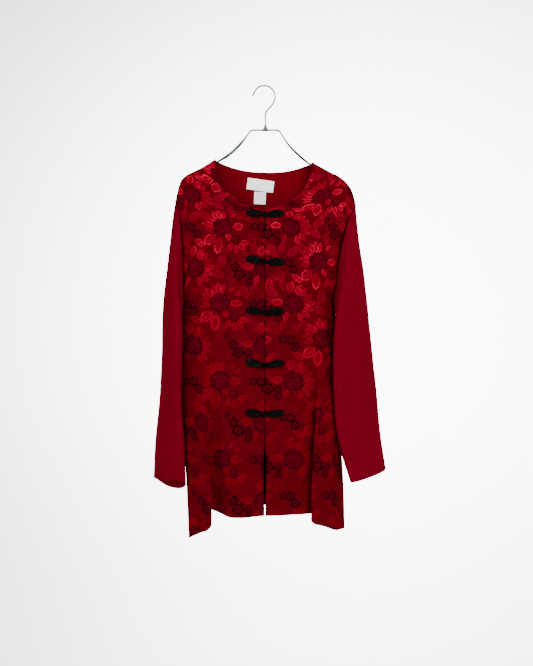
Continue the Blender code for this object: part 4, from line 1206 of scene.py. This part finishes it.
def sleeve_face(side, turn, share):
    """Outer face of a sleeve: `turn` round it in degrees, `share` from armhole to cuff."""
    rows = SLEEVE[side]
    sign = -1 if side == "right" else 1
    value = {name: read(rows, "share", name, share) for name in rows}
    angle = np.radians(turn)
    heading = np.radians(value["turn"])
    thin = value["thin"] * np.sign(np.cos(angle)) * np.abs(np.cos(angle)) ** SLEEVE_ROUND
    far = value["long"] * np.sign(np.sin(angle)) * np.abs(np.sin(angle)) ** SLEEVE_ROUND
    x = value["x"] + sign * (thin * np.cos(heading) - far * np.sin(heading))
    y = value["y"] - thin * np.sin(heading) - far * np.cos(heading)
    level = (value["out"] + value["front"] + value["inner"] + value["back"]) / 4
    z = (level + (value["out"] - value["inner"]) / 2 * np.cos(angle)
         + (value["front"] - value["back"]) / 2 * np.sin(angle)
         + (value["out"] + value["inner"] - value["front"] - value["back"]) / 4
         * np.cos(2 * angle))
    own = ease(share / SLEEVE_SET)
    ring = np.stack((x, y, z), axis=-1)
    return armhole(side, turn) * (1 - own[..., None]) + ring * own[..., None]


# %% [markdown]
# ## Puckers and breaks
# A sleeve is measured round the tube from the shoulder, over the front, and down from the
# armhole. Its hem is turned up like the jacket's. The seam allowance stands inside the body,
# as it does on a sewn sleeve, which also keeps light from showing through the seam.

# %% Sleeves with their creases
SLEEVE_CREASES = {
    "right": table(
        "u0   v0   u1   v1   bow width lift",
        (60, 20, 90, 420, 10, 14, 1.1),
        (118, 60, 108, 380, -9, 12, -1.0),
        (30, 120, 48, 560, 8, 16, -0.9),
        (96, 300, 150, 350, 6, 8, -1.4),
        (84, 322, 140, 392, -8, 9, -1.1),
        (60, 420, 74, 600, 6, 13, 1.2),
        (210, 60, 232, 460, -10, 15, -1.2),
        (256, 140, 246, 520, 9, 14, 1.1),
        (200, 300, 262, 346, 7, 9, -1.3),
        (286, 60, 300, 360, 6, 12, -0.8),
        (14, 6, 12, 40, 1, 3, -0.7),
        (34, 6, 36, 34, 1, 3, -0.7),
        (52, 6, 58, 44, -1, 3, -0.6),
        (300, 6, 296, 38, -1, 3, -0.7),
        (278, 6, 270, 44, 1, 3, -0.6)),
    "left": table(
        "u0   v0   u1   v1   bow width lift",
        (44, 30, 66, 470, 12, 16, 1.2),
        (92, 40, 84, 360, -9, 13, -1.1),
        (20, 200, 34, 580, 7, 15, -0.9),
        (120, 250, 62, 330, 9, 9, -1.2),
        (136, 300, 70, 352, -7, 8, -1.0),
        (108, 380, 116, 600, 7, 14, 1.3),
        (226, 80, 206, 480, 10, 14, -1.2),
        (262, 120, 270, 520, -8, 16, 1.1),
        (208, 290, 268, 330, 8, 9, -1.2),
        (292, 90, 286, 400, 6, 12, -0.8),
        (16, 6, 14, 42, 1, 3, -0.7),
        (38, 6, 42, 36, 1, 3, -0.7),
        (56, 6, 62, 40, -1, 3, -0.6),
        (298, 6, 294, 40, -1, 3, -0.7),
        (276, 6, 270, 36, 1, 3, -0.6))}
SLEEVE_GRID = (104, 206)
CAP_ROLL = 1.8              # the cap turns into the armhole's seam over this
CUFF_STITCH = (0.4, 8.0)    # as HEM_STITCH
TUCK_RINGS = 5              # rings of seam allowance that stand inside the armhole
TUCK = 9.0                  # and how far in the allowance reaches
# On its inner side the sleeve sags against the body: how far down, over what reach, how far.
SLACK = {"right": ((24, 22, 5.0), (165, 60, 3.6), (372, 40, 3.6)), "left": ((24, 22, 8.5),)}


def sew_sleeve(side):
    """One sleeve: rings from the armhole to the cuff, with the seam allowance tucked inside."""
    turns = np.linspace(0, 360, SLEEVE_GRID[0], endpoint=False)
    shares = spread(SLEEVE_GRID[1], 2.0, (0.0, 1.0), 0.03)
    turn, share = np.meshgrid(turns, shares)
    outer = sleeve_face(side, turn, share)
    body_way = 1.0 if side == "right" else -1.0
    down = run_length(outer, 0)
    slack = sum(sag * bell(down - middle, reach) for middle, reach, sag in SLACK[side])
    outer[..., 0] += body_way * slack * bell(turn - 180, 60)
    normals = outward(outer, True)
    middle = outer.mean(axis=1, keepdims=True)
    facing_out = np.mean(np.sum(normals * (outer - middle), axis=-1)) > 0
    if not facing_out:
        outer = outer[:, ::-1]
    wide = run_length(outer, 1)
    high = run_length(outer, 0)
    flat = np.stack((wide, high), axis=-1)
    from_cuff = run_length(outer[::-1], 0)[::-1]
    outer = shaped(outer, flat, ((high, CAP_ROLL),), SLEEVE_CREASES[side], True)
    groove = stitched(from_cuff, wide, HEM_TURN, *CUFF_STITCH)
    outer -= outward(outer, True) * groove[..., None]
    thick = CLOTH + HEM_THICK * ease((HEM_TURN - from_cuff) / 2)
    first = outer[0]
    inwards = unit(first.mean(axis=0) - first)
    tucks = np.linspace(TUCK, TUCK / TUCK_RINGS, TUCK_RINGS)[:, None, None]
    tucked = first + (inwards * 0.35 + np.array((body_way * 0.25, 0.0, 0.0))) * tucks
    outer = np.concatenate((tucked, outer))
    thick = np.concatenate((np.full(tucked.shape[:2], CLOTH), thick))
    flat = np.concatenate((np.stack((np.tile(wide[0], (TUCK_RINGS, 1)),
                                     np.tile(-tucks[..., 0], (1, turns.size))), axis=-1), flat))
    to_cuff = np.append(np.full(TUCK_RINGS, 1e3), from_cuff[:, 0])
    sewn = np.minimum(np.abs(flat[..., 1]), to_cuff[:, None])
    maps = (("cloth", flat), ("edges", np.stack((sewn, flat[..., 1]), axis=-1)))
    piece = cloth_piece("cloth_sleeve_" + side, outer, thick, maps, (sleeve_crepe, sleeve_crepe),
                        True)
    return piece, float(wide.max()), float(high.max())


sleeves = {side: sew_sleeve(side) for side in ("right", "left")}
for side, (piece, wide, high) in sleeves.items():
    print(side, "sleeve is", round(wide), "mm round and", round(high), "mm long")

# %% [markdown]
# ## Finding a place on the cloth
# Frogs and labels are sewn to the cloth, so they need the point of a panel that lies behind a
# given place, and the direction that looks away from it. The panel's formula goes the other
# way, from shares to a point, so the shares are corrected a few times until the point agrees.


# %% Places on the cloth
CORRECTIONS = 12            # times that the two shares are corrected
PROBE = 0.002               # share over which a direction along the cloth is measured


def place_on(face, start, x, z):
    """Points and outward normals of a face at the given x and z, by repeated correction."""
    across = np.full(x.shape, start[0])
    up = np.full(x.shape, start[1])
    for _ in range(CORRECTIONS):
        here = face(across, up)
        aside = (face(across + PROBE, up) - here) / PROBE
        above = (face(across, up + PROBE) - here) / PROBE
        miss_x = x - here[..., 0]
        miss_z = z - here[..., 2]
        turned = aside[..., 0] * above[..., 2] - aside[..., 2] * above[..., 0]
        across = clamp(across + (miss_x * above[..., 2] - miss_z * above[..., 0]) / turned, 0, 0.9)
        up = clamp(up + (miss_z * aside[..., 0] - miss_x * aside[..., 2]) / turned, 0.02, 0.97)
    here = face(across, up)
    normal = unit(np.cross(face(across + PROBE, up) - here, face(across, up + PROBE) - here))
    return here, normal


def front_place(side, x, z):
    """Points and outward normals of the closed front, flat across the meeting edges."""
    sign = -1 if side == "right" else 1
    start_up = UP_LOW + 0.1 if np.mean(z) > UNDERARM_Z else UP_LOW * 0.6
    inside = CENTRE_X + sign * np.maximum(sign * (x - CENTRE_X), 0.6)
    here, normal = place_on(lambda a, u: front_face(side, a, u), (0.1, start_up), inside, z)
    here[..., 0] = x
    normal[normal[..., 1] > 0] *= -1
    return here, normal


def tilted(along, upward, degrees):
    angle = math.radians(degrees)
    return (along * math.cos(angle) - upward * math.sin(angle),
            along * math.sin(angle) + upward * math.cos(angle))


print("the front stands at y", round(float(front_place("left", np.array([40.0]),
                                                     np.array([-500.0]))[0][0, 1]), 1), "mm")

# %% [markdown]
# ## Satin cord
# A frog is made of satin cord: a bias strip turned round a core, 2 to 3 mm thick. Eight
# lengths of it are wound round a thicker core into a pad shaped like a spindle, and sewn down
# from behind. One more length is tied into the knot, and on the other side a doubled length
# makes the loop. Every cord here is a real tube along its own path.

# %% The cord's finish
def satin_cord(name):
    """Black satin cord: a soft gloss, and a fine slant rib where the strip winds round."""
    material, tree = new_material(name)
    place = add(tree, "UVMap", uv_map="cloth")
    rib = add(tree, "TexWave", stretched(tree, place, 900, 900, 1), out=1,
              sockets={"Scale": 0.45, "Distortion": 1.5, "Detail": 1.0},
              bands_direction="DIAGONAL")
    dust = noise(tree, place, 300.0, 2.0)
    colour = mix(tree, between(tree, dust, 0.35, 0.75), linear("#020202"), linear("#070707"))
    rough = between(tree, rib, 0.0, 1.0, 0.42, 0.60)
    bump = add(tree, "Bump", sockets={"Strength": 0.5, "Distance": 0.0003, "Height": rib})
    finish_material(tree, {"Base Color": colour, "Roughness": rough, "Specular IOR Level": 0.04,
                           "Normal": bump})
    return material


black_cord = satin_cord("black_satin_cord")

# %% Tubes along a path
TUBE_SIDES = 8
MAP_RADIUS = 1.2            # the map runs round every cord as if it had this radius


def tube(path, radius):
    """A round tube along a path: rings square to it, carried on without twisting, ends closed.

    Gives points, quads and the map (run along, run round).
    """
    ahead = unit(np.gradient(path, axis=0))
    away = np.cross(ahead[0], (0.0, 0.0, 1.0))
    if np.linalg.norm(away) < 0.1:
        away = np.cross(ahead[0], (1.0, 0.0, 0.0))
    sides = []
    for step in ahead:
        away = away - step * np.dot(away, step)
        away = away / np.linalg.norm(away)
        sides.append(away)
    first = np.array(sides)
    second = np.cross(ahead, first)
    angle = np.arange(TUBE_SIDES) * 2 * math.pi / TUBE_SIDES
    radius = np.broadcast_to(radius, len(path))[:, None, None]
    points = path[:, None] + radius * (first[:, None] * np.cos(angle)[:, None]
                                       + second[:, None] * np.sin(angle)[:, None])
    run = np.concatenate(([0.0], np.cumsum(np.linalg.norm(np.diff(path, axis=0), axis=1))))
    map_u = np.repeat(run, TUBE_SIDES)
    map_v = np.tile(angle * MAP_RADIUS, len(path))
    quads = grid_quads(len(path), TUBE_SIDES, 0, True)[:, ::-1]
    number = np.arange(TUBE_SIDES)
    half = TUBE_SIDES // 2
    mirrored = TUBE_SIDES - 1 - number
    cap = np.stack((number[:half - 1], number[1:half], mirrored[1:half], mirrored[:half - 1]),
                   axis=-1)
    far_cap = cap[:, ::-1] + (len(path) - 1) * TUBE_SIDES
    quads = np.concatenate((quads, cap, far_cap))
    return points.reshape(-1, 3), quads, np.stack((map_u, map_v), axis=-1)


def gather(tubes):
    """Several tubes as one set of points, quads and map."""
    points, quads, maps, first = [], [], [], 0
    for one_points, one_quads, one_map in tubes:
        points.append(one_points)
        quads.append(one_quads + first)
        maps.append(one_map)
        first += len(one_points)
    return np.concatenate(points), np.concatenate(quads), np.concatenate(maps)


# %% [markdown]
# ## Pads, knots and loops
# In the frog's own measures `along` runs from the knot to the pad's tip, `up` across it, and
# `lift` off the cloth. A pad's cords wind round its middle line on an oval that swells and
# narrows. The knot is a button knot: one cord that goes three times round a ball while it
# swings up and down four times, over itself and under by turns.

# %% Frogs
PAD_CORDS = 8
PAD_TWIST = 200.0           # degrees that the cords wind round from the knot to the tip
CORD_RADIUS = 1.25
FROGS = table(
    "z      knot_tilt loop_tilt droop",
    (-284.5, -8, 6, 1.0),
    (-387, -11, -1, 1.5),
    (-497, -9, 6, 1.5),
    (-609, -10, 8, 3.5),
    (-716, -5, 3, 1.0))
KNOT_X = 1.4                # the knots sit here, over the front edges
KNOT_RADIUS = 5.5           # the knot's cord swings about a ball of this radius
KNOT_LIFT = 10.2            # and the ball's middle is this far off the pad's foot
PAD_LIFT = 0.5              # space between a pad and the cloth
KNOT_PAD = table(
    "along wide thick lift",
    (5.5, 3.0, 1.3, 1.8),
    (9.0, 4.4, 1.6, 2.0),
    (13.0, 6.6, 2.0, 2.5),
    (19.0, 8.6, 2.4, 2.9),
    (26.0, 9.0, 2.4, 2.9),
    (33.0, 8.0, 2.1, 2.5),
    (38.0, 5.8, 1.6, 2.0),
    (40.6, 3.4, 1.0, 1.5))
LOOP_PAD = table(
    "along wide thick lift",
    (7.0, 3.6, 1.4, 2.4),
    (10.0, 5.2, 1.7, 2.5),
    (15.0, 8.0, 2.1, 2.6),
    (22.0, 9.0, 2.3, 2.7),
    (29.0, 8.5, 2.1, 2.6),
    (35.0, 6.8, 1.7, 2.1),
    (39.5, 4.6, 1.2, 1.6),
    (42.0, 2.6, 0.8, 1.2))


def pad_cords(rows, lean):
    """Cords wound along a pad: oval of the pad's half width and thickness, turned evenly."""
    along = np.linspace(rows["along"][0], rows["along"][-1], 54)
    wide, thick, lift = (read(rows, "along", key, along) for key in ("wide", "thick", "lift"))
    share = (along - along[0]) / np.ptp(along)
    cords = []
    for i in range(PAD_CORDS):
        start = 360.0 * i / PAD_CORDS + 17 * math.sin(5.0 * i + lean)
        angle = np.radians(start + lean * PAD_TWIST * (share + 0.08 * np.sin(6 * share + i)))
        near = 0.83 + 0.04 * math.sin(3.0 * i)
        up = wide * near * np.cos(angle)
        off = np.maximum(lift + thick * near * np.sin(angle), 0.9)
        radius = CORD_RADIUS * (0.55 + 0.75 * wide / wide.max())
        cords.append(tube(np.stack((along, up, off), axis=-1), radius))
    core = np.stack((along, np.zeros_like(along), lift), axis=-1)
    cords.append(tube(core, np.minimum(wide, thick + 1.2) * 0.8))
    return cords


def knot_cords():
    """The button knot with its two-stranded neck: a filled ball round which a cord swings."""
    phase = np.linspace(0, 2 * math.pi, 150)
    swing = np.radians(58) * np.cos(4 * phase)
    turn = 3 * phase
    reach = KNOT_RADIUS + 0.8 * np.cos(8 * phase + 0.6)
    ball = np.stack((reach * np.cos(swing) * np.cos(turn), reach * np.cos(swing) * np.sin(turn),
                     KNOT_LIFT + reach * 0.92 * np.sin(swing)), axis=-1)
    filled = np.linspace(-1, 1, 15)
    core = np.stack((np.zeros(15), np.zeros(15), KNOT_LIFT + 5.0 * filled), axis=-1)
    cords = [tube(ball, 1.55), tube(core, 5.0 * np.sqrt(1.02 - filled * filled))]
    for side in (-1, 1):
        neck = np.stack((np.array((8.0, 5.0, 2.0, 0.5, 0.2, 0.0)),
                         side * np.array((2.6, 2.4, 1.9, 1.3, 1.2, 1.4)),
                         np.array((1.8, 1.8, 2.0, 3.0, 4.8, 7.0))), axis=-1)
        steps = np.linspace(0, 5, 24)
        neck = np.stack([smooth(np.arange(6.0), neck[:, i], steps) for i in range(3)], axis=-1)
        cords.append(tube(neck, 1.4))
    return cords


def loop_cords():
    """The doubled loop: two cords side by side from the pad, round the knot's neck and back."""
    cords = []
    for reach, height in ((3.9, 4.0), (5.6, 3.6)):
        angle = np.radians(np.linspace(-128, 128, 40))
        along = -reach * np.cos(angle) * 0.95
        up = reach * np.sin(angle)
        lead = np.linspace(9.5, along[-1], 14)[:-1]
        lead_up = np.interp(lead, (along[-1], 9.5), (up[-1], 1.4 + (reach - 3.9) * 0.9))
        path_along = np.concatenate((lead, along[::-1], lead[::-1]))
        path_up = np.concatenate((lead_up, up[::-1], -lead_up[::-1]))
        height_now = np.where(path_along < 3, height, height - 0.22 * (path_along - 3))
        cords.append(tube(np.stack((path_along, path_up, height_now), axis=-1), 1.1))
    return cords


def sew_frog(number, half, cords, side, tilt, z):
    """Lay a frog's cords on the cloth: every point moves out from the cloth behind it."""
    points, quads, maps = gather(cords)
    sign = -1 if side == "right" else 1
    along, upward = tilted(sign * points[:, 0], points[:, 1], tilt)
    here, normal = front_place(side, KNOT_X + along, z + upward)
    placed = here + normal * (points[:, 2] + PAD_LIFT)[:, None]
    if side == "right":
        quads = quads[:, ::-1]
    name = f"cord_frog_{number}_{half}"
    return make_mesh(name, placed, quads, (black_cord,), maps=(("cloth", maps),))


frog_pieces = []
for i in range(len(FROGS["z"])):
    low = FROGS["z"][i] - FROGS["droop"][i]
    knot = sew_frog(i + 1, "knot", pad_cords(KNOT_PAD, 1.0) + knot_cords(), "right",
                    FROGS["knot_tilt"][i], low)
    loop = sew_frog(i + 1, "loop", pad_cords(LOOP_PAD, -1.0) + loop_cords(), "left",
                    FROGS["loop_tilt"][i], low)
    frog_pieces += [(knot, f"frog_{i + 1}_knot"), (loop, f"frog_{i + 1}_loop")]
print("frog halves:", len(frog_pieces), "cords in a pad:", PAD_CORDS)

# %% [markdown]
# ## Labels
# Two labels of white woven tape are caught to the neck seam inside the back. They're bare. The
# tape's ends are folded under and its corners are held by a few stitches, so it bows between
# them.

# %% Label tape
def label_tape(name, tint):
    """White taffeta tape: a fine basket weave, drawn 0.9 mm wide so that it shows."""
    material, tree = new_material(name)
    place = add(tree, "UVMap", uv_map="cloth")
    weave = add(tree, "TexBrick", stretched(tree, place, 1100, 1100, 1), out=1,
                sockets={"Scale": 1.0, "Mortar Size": 0.12, "Brick Width": 1.0,
                         "Row Height": 0.5})
    soil = noise(tree, place, 60.0, 3.0)
    colour = mix(tree, between(tree, soil, 0.3, 0.8), linear(tint), linear("#FFFEFD"))
    edge = add(tree, "SeparateXYZ", add(tree, "UVMap", uv_map="edges"))
    # Painted shade: a dark line 2.2 mm in from each edge, along the fold where the tape is turned
    # under.
    fold = add(tree, "Math", edge, 0.0022, operation="SUBTRACT")
    fold = add(tree, "Math", fold, operation="ABSOLUTE")
    colour = darkened(tree, colour, between(tree, fold, 0.0001, 0.0006, 0.80, 1.0))
    bump = add(tree, "Bump", sockets={"Strength": 0.3, "Distance": 0.0002, "Height": weave})
    finish_material(tree, {"Base Color": colour, "Roughness": 0.55, "Specular IOR Level": 0.35,
                           "Sheen Weight": 0.1, "Normal": bump})
    return material


LABELS = table(
    "x      z     width height tilt",
    (-8.5, -215, 59, 25, -8),
    (-9.5, -243, 26, 27, -2))
LABEL_NAMES = ("label_neck", "label_size")
LABEL_THICK = 0.6
LABEL_LIFT = 0.4
WALL = 1.5                  # the labels stand clear of the panel's whole solid wall


def sew_label(row, material):
    """A tape on the inside of the back: a grid that bows between its corners, with thickness."""
    half = np.array((LABELS["width"][row], LABELS["height"][row])) / 2
    along, upward = np.meshgrid(np.linspace(-half[0], half[0], 60),
                                np.linspace(-half[1], half[1], 34))
    turned_x, turned_z = tilted(along, upward, LABELS["tilt"][row])
    here, normal = place_on(back_face, (0.5, 0.9), LABELS["x"][row] + turned_x,
                            LABELS["z"][row] + turned_z)
    normal[normal[..., 1] < 0] *= -1
    bow = (1 - (along / half[0]) ** 2) * (0.55 + 0.45 * np.sin(along / 9 + row))
    bow = bow * (1 - 0.5 * (upward / half[1] + 1) / 2)
    side = np.minimum(half[0] - np.abs(along), half[1] - np.abs(upward))
    lift = WALL + LABEL_LIFT + row * (LABEL_THICK + LABEL_LIFT) + LABEL_THICK + 0.5 * bow
    lift = lift - rolled(side, 0.4)
    near = here - normal * lift[..., None]
    maps = (("cloth", np.stack((along, upward), axis=-1)),
            ("edges", np.stack((side, along), axis=-1)))
    name = "tape_" + LABEL_NAMES[row]
    return cloth_piece(name, near, np.full(along.shape, LABEL_THICK), maps, (material, material))


labels = [sew_label(0, label_tape("white_woven_tape", "#FBF8F6")),
          sew_label(1, label_tape("pinkish_woven_tape", "#EBDAD9"))]

# %% [markdown]
# ## The hanger
# The hanger is one strip of steel, bent up at its middle, bowed out to both shoulders and
# rounded along its edges, with a wire hook whose boss is riveted into it. Polished steel is
# plated and buffed, so it mirrors the room, blurred a little along the buffing.


# %% Steel
def polished_steel(name):
    """Buffed steel: metallic, roughness 0.15 to 0.27 in streaks about 1 mm apart."""
    material, tree = new_material(name)
    place = add(tree, "TexCoord", out=3)
    streak = noise(tree, stretched(tree, place, 120, 900, 120), 1.0, 2.0)
    smear = noise(tree, place, 45.0, 3.0)
    rough = between(tree, streak, 0.3, 0.7, 0.15, 0.27)
    colour = mix(tree, between(tree, smear, 0.3, 0.7), linear("#4C4E50"), linear("#6C6E70"))
    finish_material(tree, {"Base Color": colour, "Metallic": 1.0, "Roughness": rough,
                           "Specular Tint": linear("#6A6C6E")})
    return material


steel = polished_steel("polished_steel_plate")

# %% The band and the hook
# The hanger's band from one tip to the other: middle line, its depth front to back, its
# thickness and how far its front edge is rolled up, in degrees. The swelling carries the hook.
BAND = table(
    "x      z      depth thick roll",
    (-166, -198.6, 9, 2.0, 0),
    (-158, -194.2, 14, 2.0, 0),
    (-136, -182.6, 17, 2.0, 0),
    (-104, -166.6, 20, 2.0, 0),
    (-84, -154.6, 19, 2.0, 8),
    (-67, -141.6, 16, 2.0, 12),
    (-49, -122.6, 13, 2.0, 12),
    (-37, -107.0, 11, 2.0, 6),
    (-31, -98.8, 10, 2.0, 5),
    (-26.5, -96.2, 10, 2.0, 5),
    (-20, -96.0, 10, 2.0, 5),
    (-7, -96.0, 10, 2.2, 5),
    (2.6, -96.0, 11, 4.2, 5),
    (12, -96.0, 10, 2.2, 5),
    (23, -96.0, 10, 2.0, 5),
    (29.5, -96.3, 10, 2.0, 5),
    (34, -99.2, 10, 2.0, 5),
    (40, -108.0, 11, 2.0, 5),
    (51, -124.8, 13, 2.0, 6),
    (70, -145.6, 16, 2.0, 7),
    (87, -160.8, 18, 2.0, 5),
    (104, -173.2, 16, 2.0, 0),
    (140, -191.6, 15, 2.0, 0),
    (160, -203.0, 12, 2.0, 0),
    (166, -206.8, 9, 2.0, 0))
BAND_SIDES = 20

# The hook's middle line from its tip, over the crown and down the shank, and its radius. The
# last rows are the turned boss that stands on the band.
HOOK = table(
    "x      z      radius",
    (-26.0, -22.0, 1.5),
    (-24.0, -17.0, 1.8),
    (-19.0, -8.0, 1.8),
    (-11.0, -0.6, 1.8),
    (0.0, 1.8, 1.8),
    (11.0, -0.6, 1.8),
    (19.5, -8.5, 1.8),
    (23.8, -19.4, 1.8),
    (22.3, -31.5, 1.8),
    (15.0, -43.5, 1.8),
    (6.0, -54.0, 1.8),
    (3.0, -60.0, 1.8),
    (2.6, -68.0, 1.8),
    (2.6, -84.0, 1.8),
    (2.6, -86.4, 2.3),
    (2.6, -90.0, 4.4),
    (2.6, -93.6, 4.6))
HOOK_SIDES = 20


def along_path(rows, count):
    """Middle points and directions (x, z) of a path, smooth through its table's rows."""
    steps = np.hypot(np.diff(rows["x"]), np.diff(rows["z"]))
    distance = np.concatenate(([0.0], np.cumsum(steps)))
    at = np.interp(np.linspace(0, len(distance) - 1, count), np.arange(len(distance)), distance)
    values = {key: smooth(distance, rows[key], at) for key in rows}
    heading = unit(np.stack((np.gradient(values["x"], at), np.gradient(values["z"], at)), axis=-1))
    return values, heading


def capped(rings, shrink):
    """A tube of rings whose ends are drawn together in a few smaller rings and a quad fan."""
    start = rings[:1].mean(axis=1, keepdims=True)
    end = rings[-1:].mean(axis=1, keepdims=True)
    first = start + (rings[:1] - start) * np.array(shrink)[:, None, None]
    last = end + (rings[-1:] - end) * np.array(shrink[::-1])[:, None, None]
    rings = np.concatenate((first, rings, last))
    rows, sides = rings.shape[:2]
    number = np.arange(sides // 2 - 1)
    fan = np.stack((number, number + 1, sides - 2 - number, sides - 1 - number), axis=-1)
    quads = np.concatenate((grid_quads(rows, sides, 0, True), fan[:, ::-1],
                            fan + (rows - 1) * sides))
    return rings.reshape(-1, 3), quads


def turned_section(rows, count, sides, deep, thick):
    """Rings along a path: an oval of half depth (front to back) and half thickness."""
    values, heading = along_path(rows, count)
    angle = (np.arange(sides) + 0.5) * 2 * math.pi / sides
    y, lift = deep(values, angle), thick(values, angle)
    if "roll" in values:
        lift = lift - y * np.sin(np.radians(values["roll"]))[:, None]
    x = values["x"][:, None] - heading[:, 1:] * lift
    z = values["z"][:, None] + heading[:, :1] * lift
    return np.stack((x, y, z), axis=-1)


def squared(curve, power):
    return np.sign(curve) * np.abs(curve) ** power


band_rings = turned_section(
    BAND, 260, BAND_SIDES,
    lambda v, angle: v["depth"][:, None] / 2 * squared(np.cos(angle), 0.35),
    lambda v, angle: v["thick"][:, None] / 2 * squared(np.sin(angle), 0.7))
hook_rings = turned_section(
    HOOK, 280, HOOK_SIDES,
    lambda v, angle: v["radius"][:, None] * np.cos(angle),
    lambda v, angle: v["radius"][:, None] * np.sin(angle))
band_points, band_quads = capped(band_rings, (0.55, 0.9))
hook_points, hook_quads = capped(hook_rings, (0.5, 0.88))
band = make_mesh("steel_band", band_points, band_quads[:, ::-1], (steel,))
hook = make_mesh("steel_hook", hook_points, hook_quads[:, ::-1], (steel,))
print("steel: band", len(band_quads), "quads, hook", len(hook_quads), "quads")

# %% [markdown]
# ## What each piece stands for
# Every piece rides on the one body and hides the plain solid that it stands for. A sleeve's width
# is measured all round the tube at the armhole, where it is widest. Its flat area is less than width
# times length because the tube narrows to the cuff and is shorter under the arm.


def stands_for(piece, node):
    """Ride on the one body and hide the plain solid `node`."""
    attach(piece, "root")
    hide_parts(node)


for side, (piece, wide, high) in fronts.items():
    stands_for(piece, "front_" + side)
stands_for(back_piece, "back")
for side, (piece, wide, high) in sleeves.items():
    stands_for(piece, "sleeve_" + side)
for piece, node in frog_pieces:
    stands_for(piece, node)
for row, piece in enumerate(labels):
    stands_for(piece, LABEL_NAMES[row])
for piece, node in ((band, "hanger_frame"), (hook, "hanger_hook")):
    stands_for(piece, node)

# %% [markdown]
# ## The studio
# The jacket hangs in the middle of a round pale studio: a floor that curves up into a wall, far
# enough away to walk round the jacket. The bowl is matte and glows a little, as a light tent
# does, so that the shade stays soft. One large lamp hangs in front, high on the right, and a
# weaker one on the left, so folds still have a light side and a dark side. A faint lamp behind
# does the same for the back.

# %% Floor and wall in one bowl
FLOOR_Z, BOWL_RADIUS, BOWL_CURVE, BOWL_TOP = -2.0, 3.6, 1.1, 2.6
FLOOR_HOLE = 0.02           # the floor is open inside this radius, which shows only from above


def bowl():
    """A flat floor, a quarter circle up, and a wall: the profile turned about the z axis."""
    arc = np.linspace(0, math.pi / 2, 24)
    across = np.concatenate((np.linspace(FLOOR_HOLE, BOWL_RADIUS - BOWL_CURVE, 12),
                             BOWL_RADIUS - BOWL_CURVE + BOWL_CURVE * np.sin(arc[1:]),
                             (BOWL_RADIUS, BOWL_RADIUS)))
    up = np.concatenate((np.full(12, FLOOR_Z), FLOOR_Z + BOWL_CURVE * (1 - np.cos(arc[1:])),
                         (0.8, BOWL_TOP)))
    turn = np.arange(128) * 2 * math.pi / 128
    points = np.stack((across[:, None] * np.cos(turn), across[:, None] * np.sin(turn),
                       np.broadcast_to(up[:, None], (len(up), len(turn)))), axis=-1) / MM
    return make_mesh("studio_bowl", points.reshape(-1, 3), grid_quads(len(up), len(turn), 0, True),
                     (pale_plaster("studio_plaster"),))


def pale_plaster(name):
    """Matte plaster that glows: bright behind the jacket, fading outwards, dim before it."""
    material, tree = new_material(name)
    place = add(tree, "TexCoord", out=3)
    behind = add(tree, "SeparateXYZ", place, out=1)
    behind = between(tree, behind, 0.9, 2.9, GLOW_BEFORE, GLOW_BEHIND)
    away = add(tree, "VectorMath", place, GLOW_MIDDLE, operation="SUBTRACT")
    away = add(tree, "VectorMath", away, (1.0, 0.0, 1.0), operation="MULTIPLY")
    away = add(tree, "VectorMath", away, operation="LENGTH", out=1)
    away = between(tree, away, 0.5, 2.6, 1.0, GLOW_CORNER)
    finish_material(tree, {"Base Color": linear("#DEDEDC"), "Roughness": 0.9,
                           "Specular IOR Level": 0.1, "Emission Color": linear("#FBFCFA"),
                           "Emission Strength": times(tree, behind, away)})
    return material


GLOW_BEHIND, GLOW_BEFORE, GLOW_CORNER = 9.0, 0.22, 0.16
GLOW_MIDDLE = (0.5, 0.0, -0.36)
bowl()


# %% Lamps
def lamp(name, place, target, size, watts):
    """A square soft lamp at a place, turned to a target."""
    light = bpy.data.lights.new(name, "AREA")
    light.energy = watts
    light.size = size
    thing = bpy.data.objects.new(name, light)
    thing.location = place
    away = np.array(place) - np.array(target)
    flat = math.hypot(away[0], away[1])
    thing.rotation_euler = (math.atan2(flat, away[2]), 0, math.atan2(away[0], -away[1]))
    bpy.context.scene.collection.objects.link(thing)


lamp("key_lamp", (1.1, -2.2, 1.0), (0, 0, -0.35), 1.5, 92)
lamp("fill_lamp", (-1.6, -1.9, 0.2), (0, 0, -0.5), 1.6, 31)
lamp("back_lamp", (-0.8, 2.2, 1.0), (0, 0, -0.5), 1.6, 12)
world = bpy.data.worlds.new("soft_sky")
world.use_nodes = True
world.node_tree.nodes["Background"].inputs["Color"].default_value = linear("#F4F6F8")
world.node_tree.nodes["Background"].inputs["Strength"].default_value = 0.35
bpy.context.scene.world = world
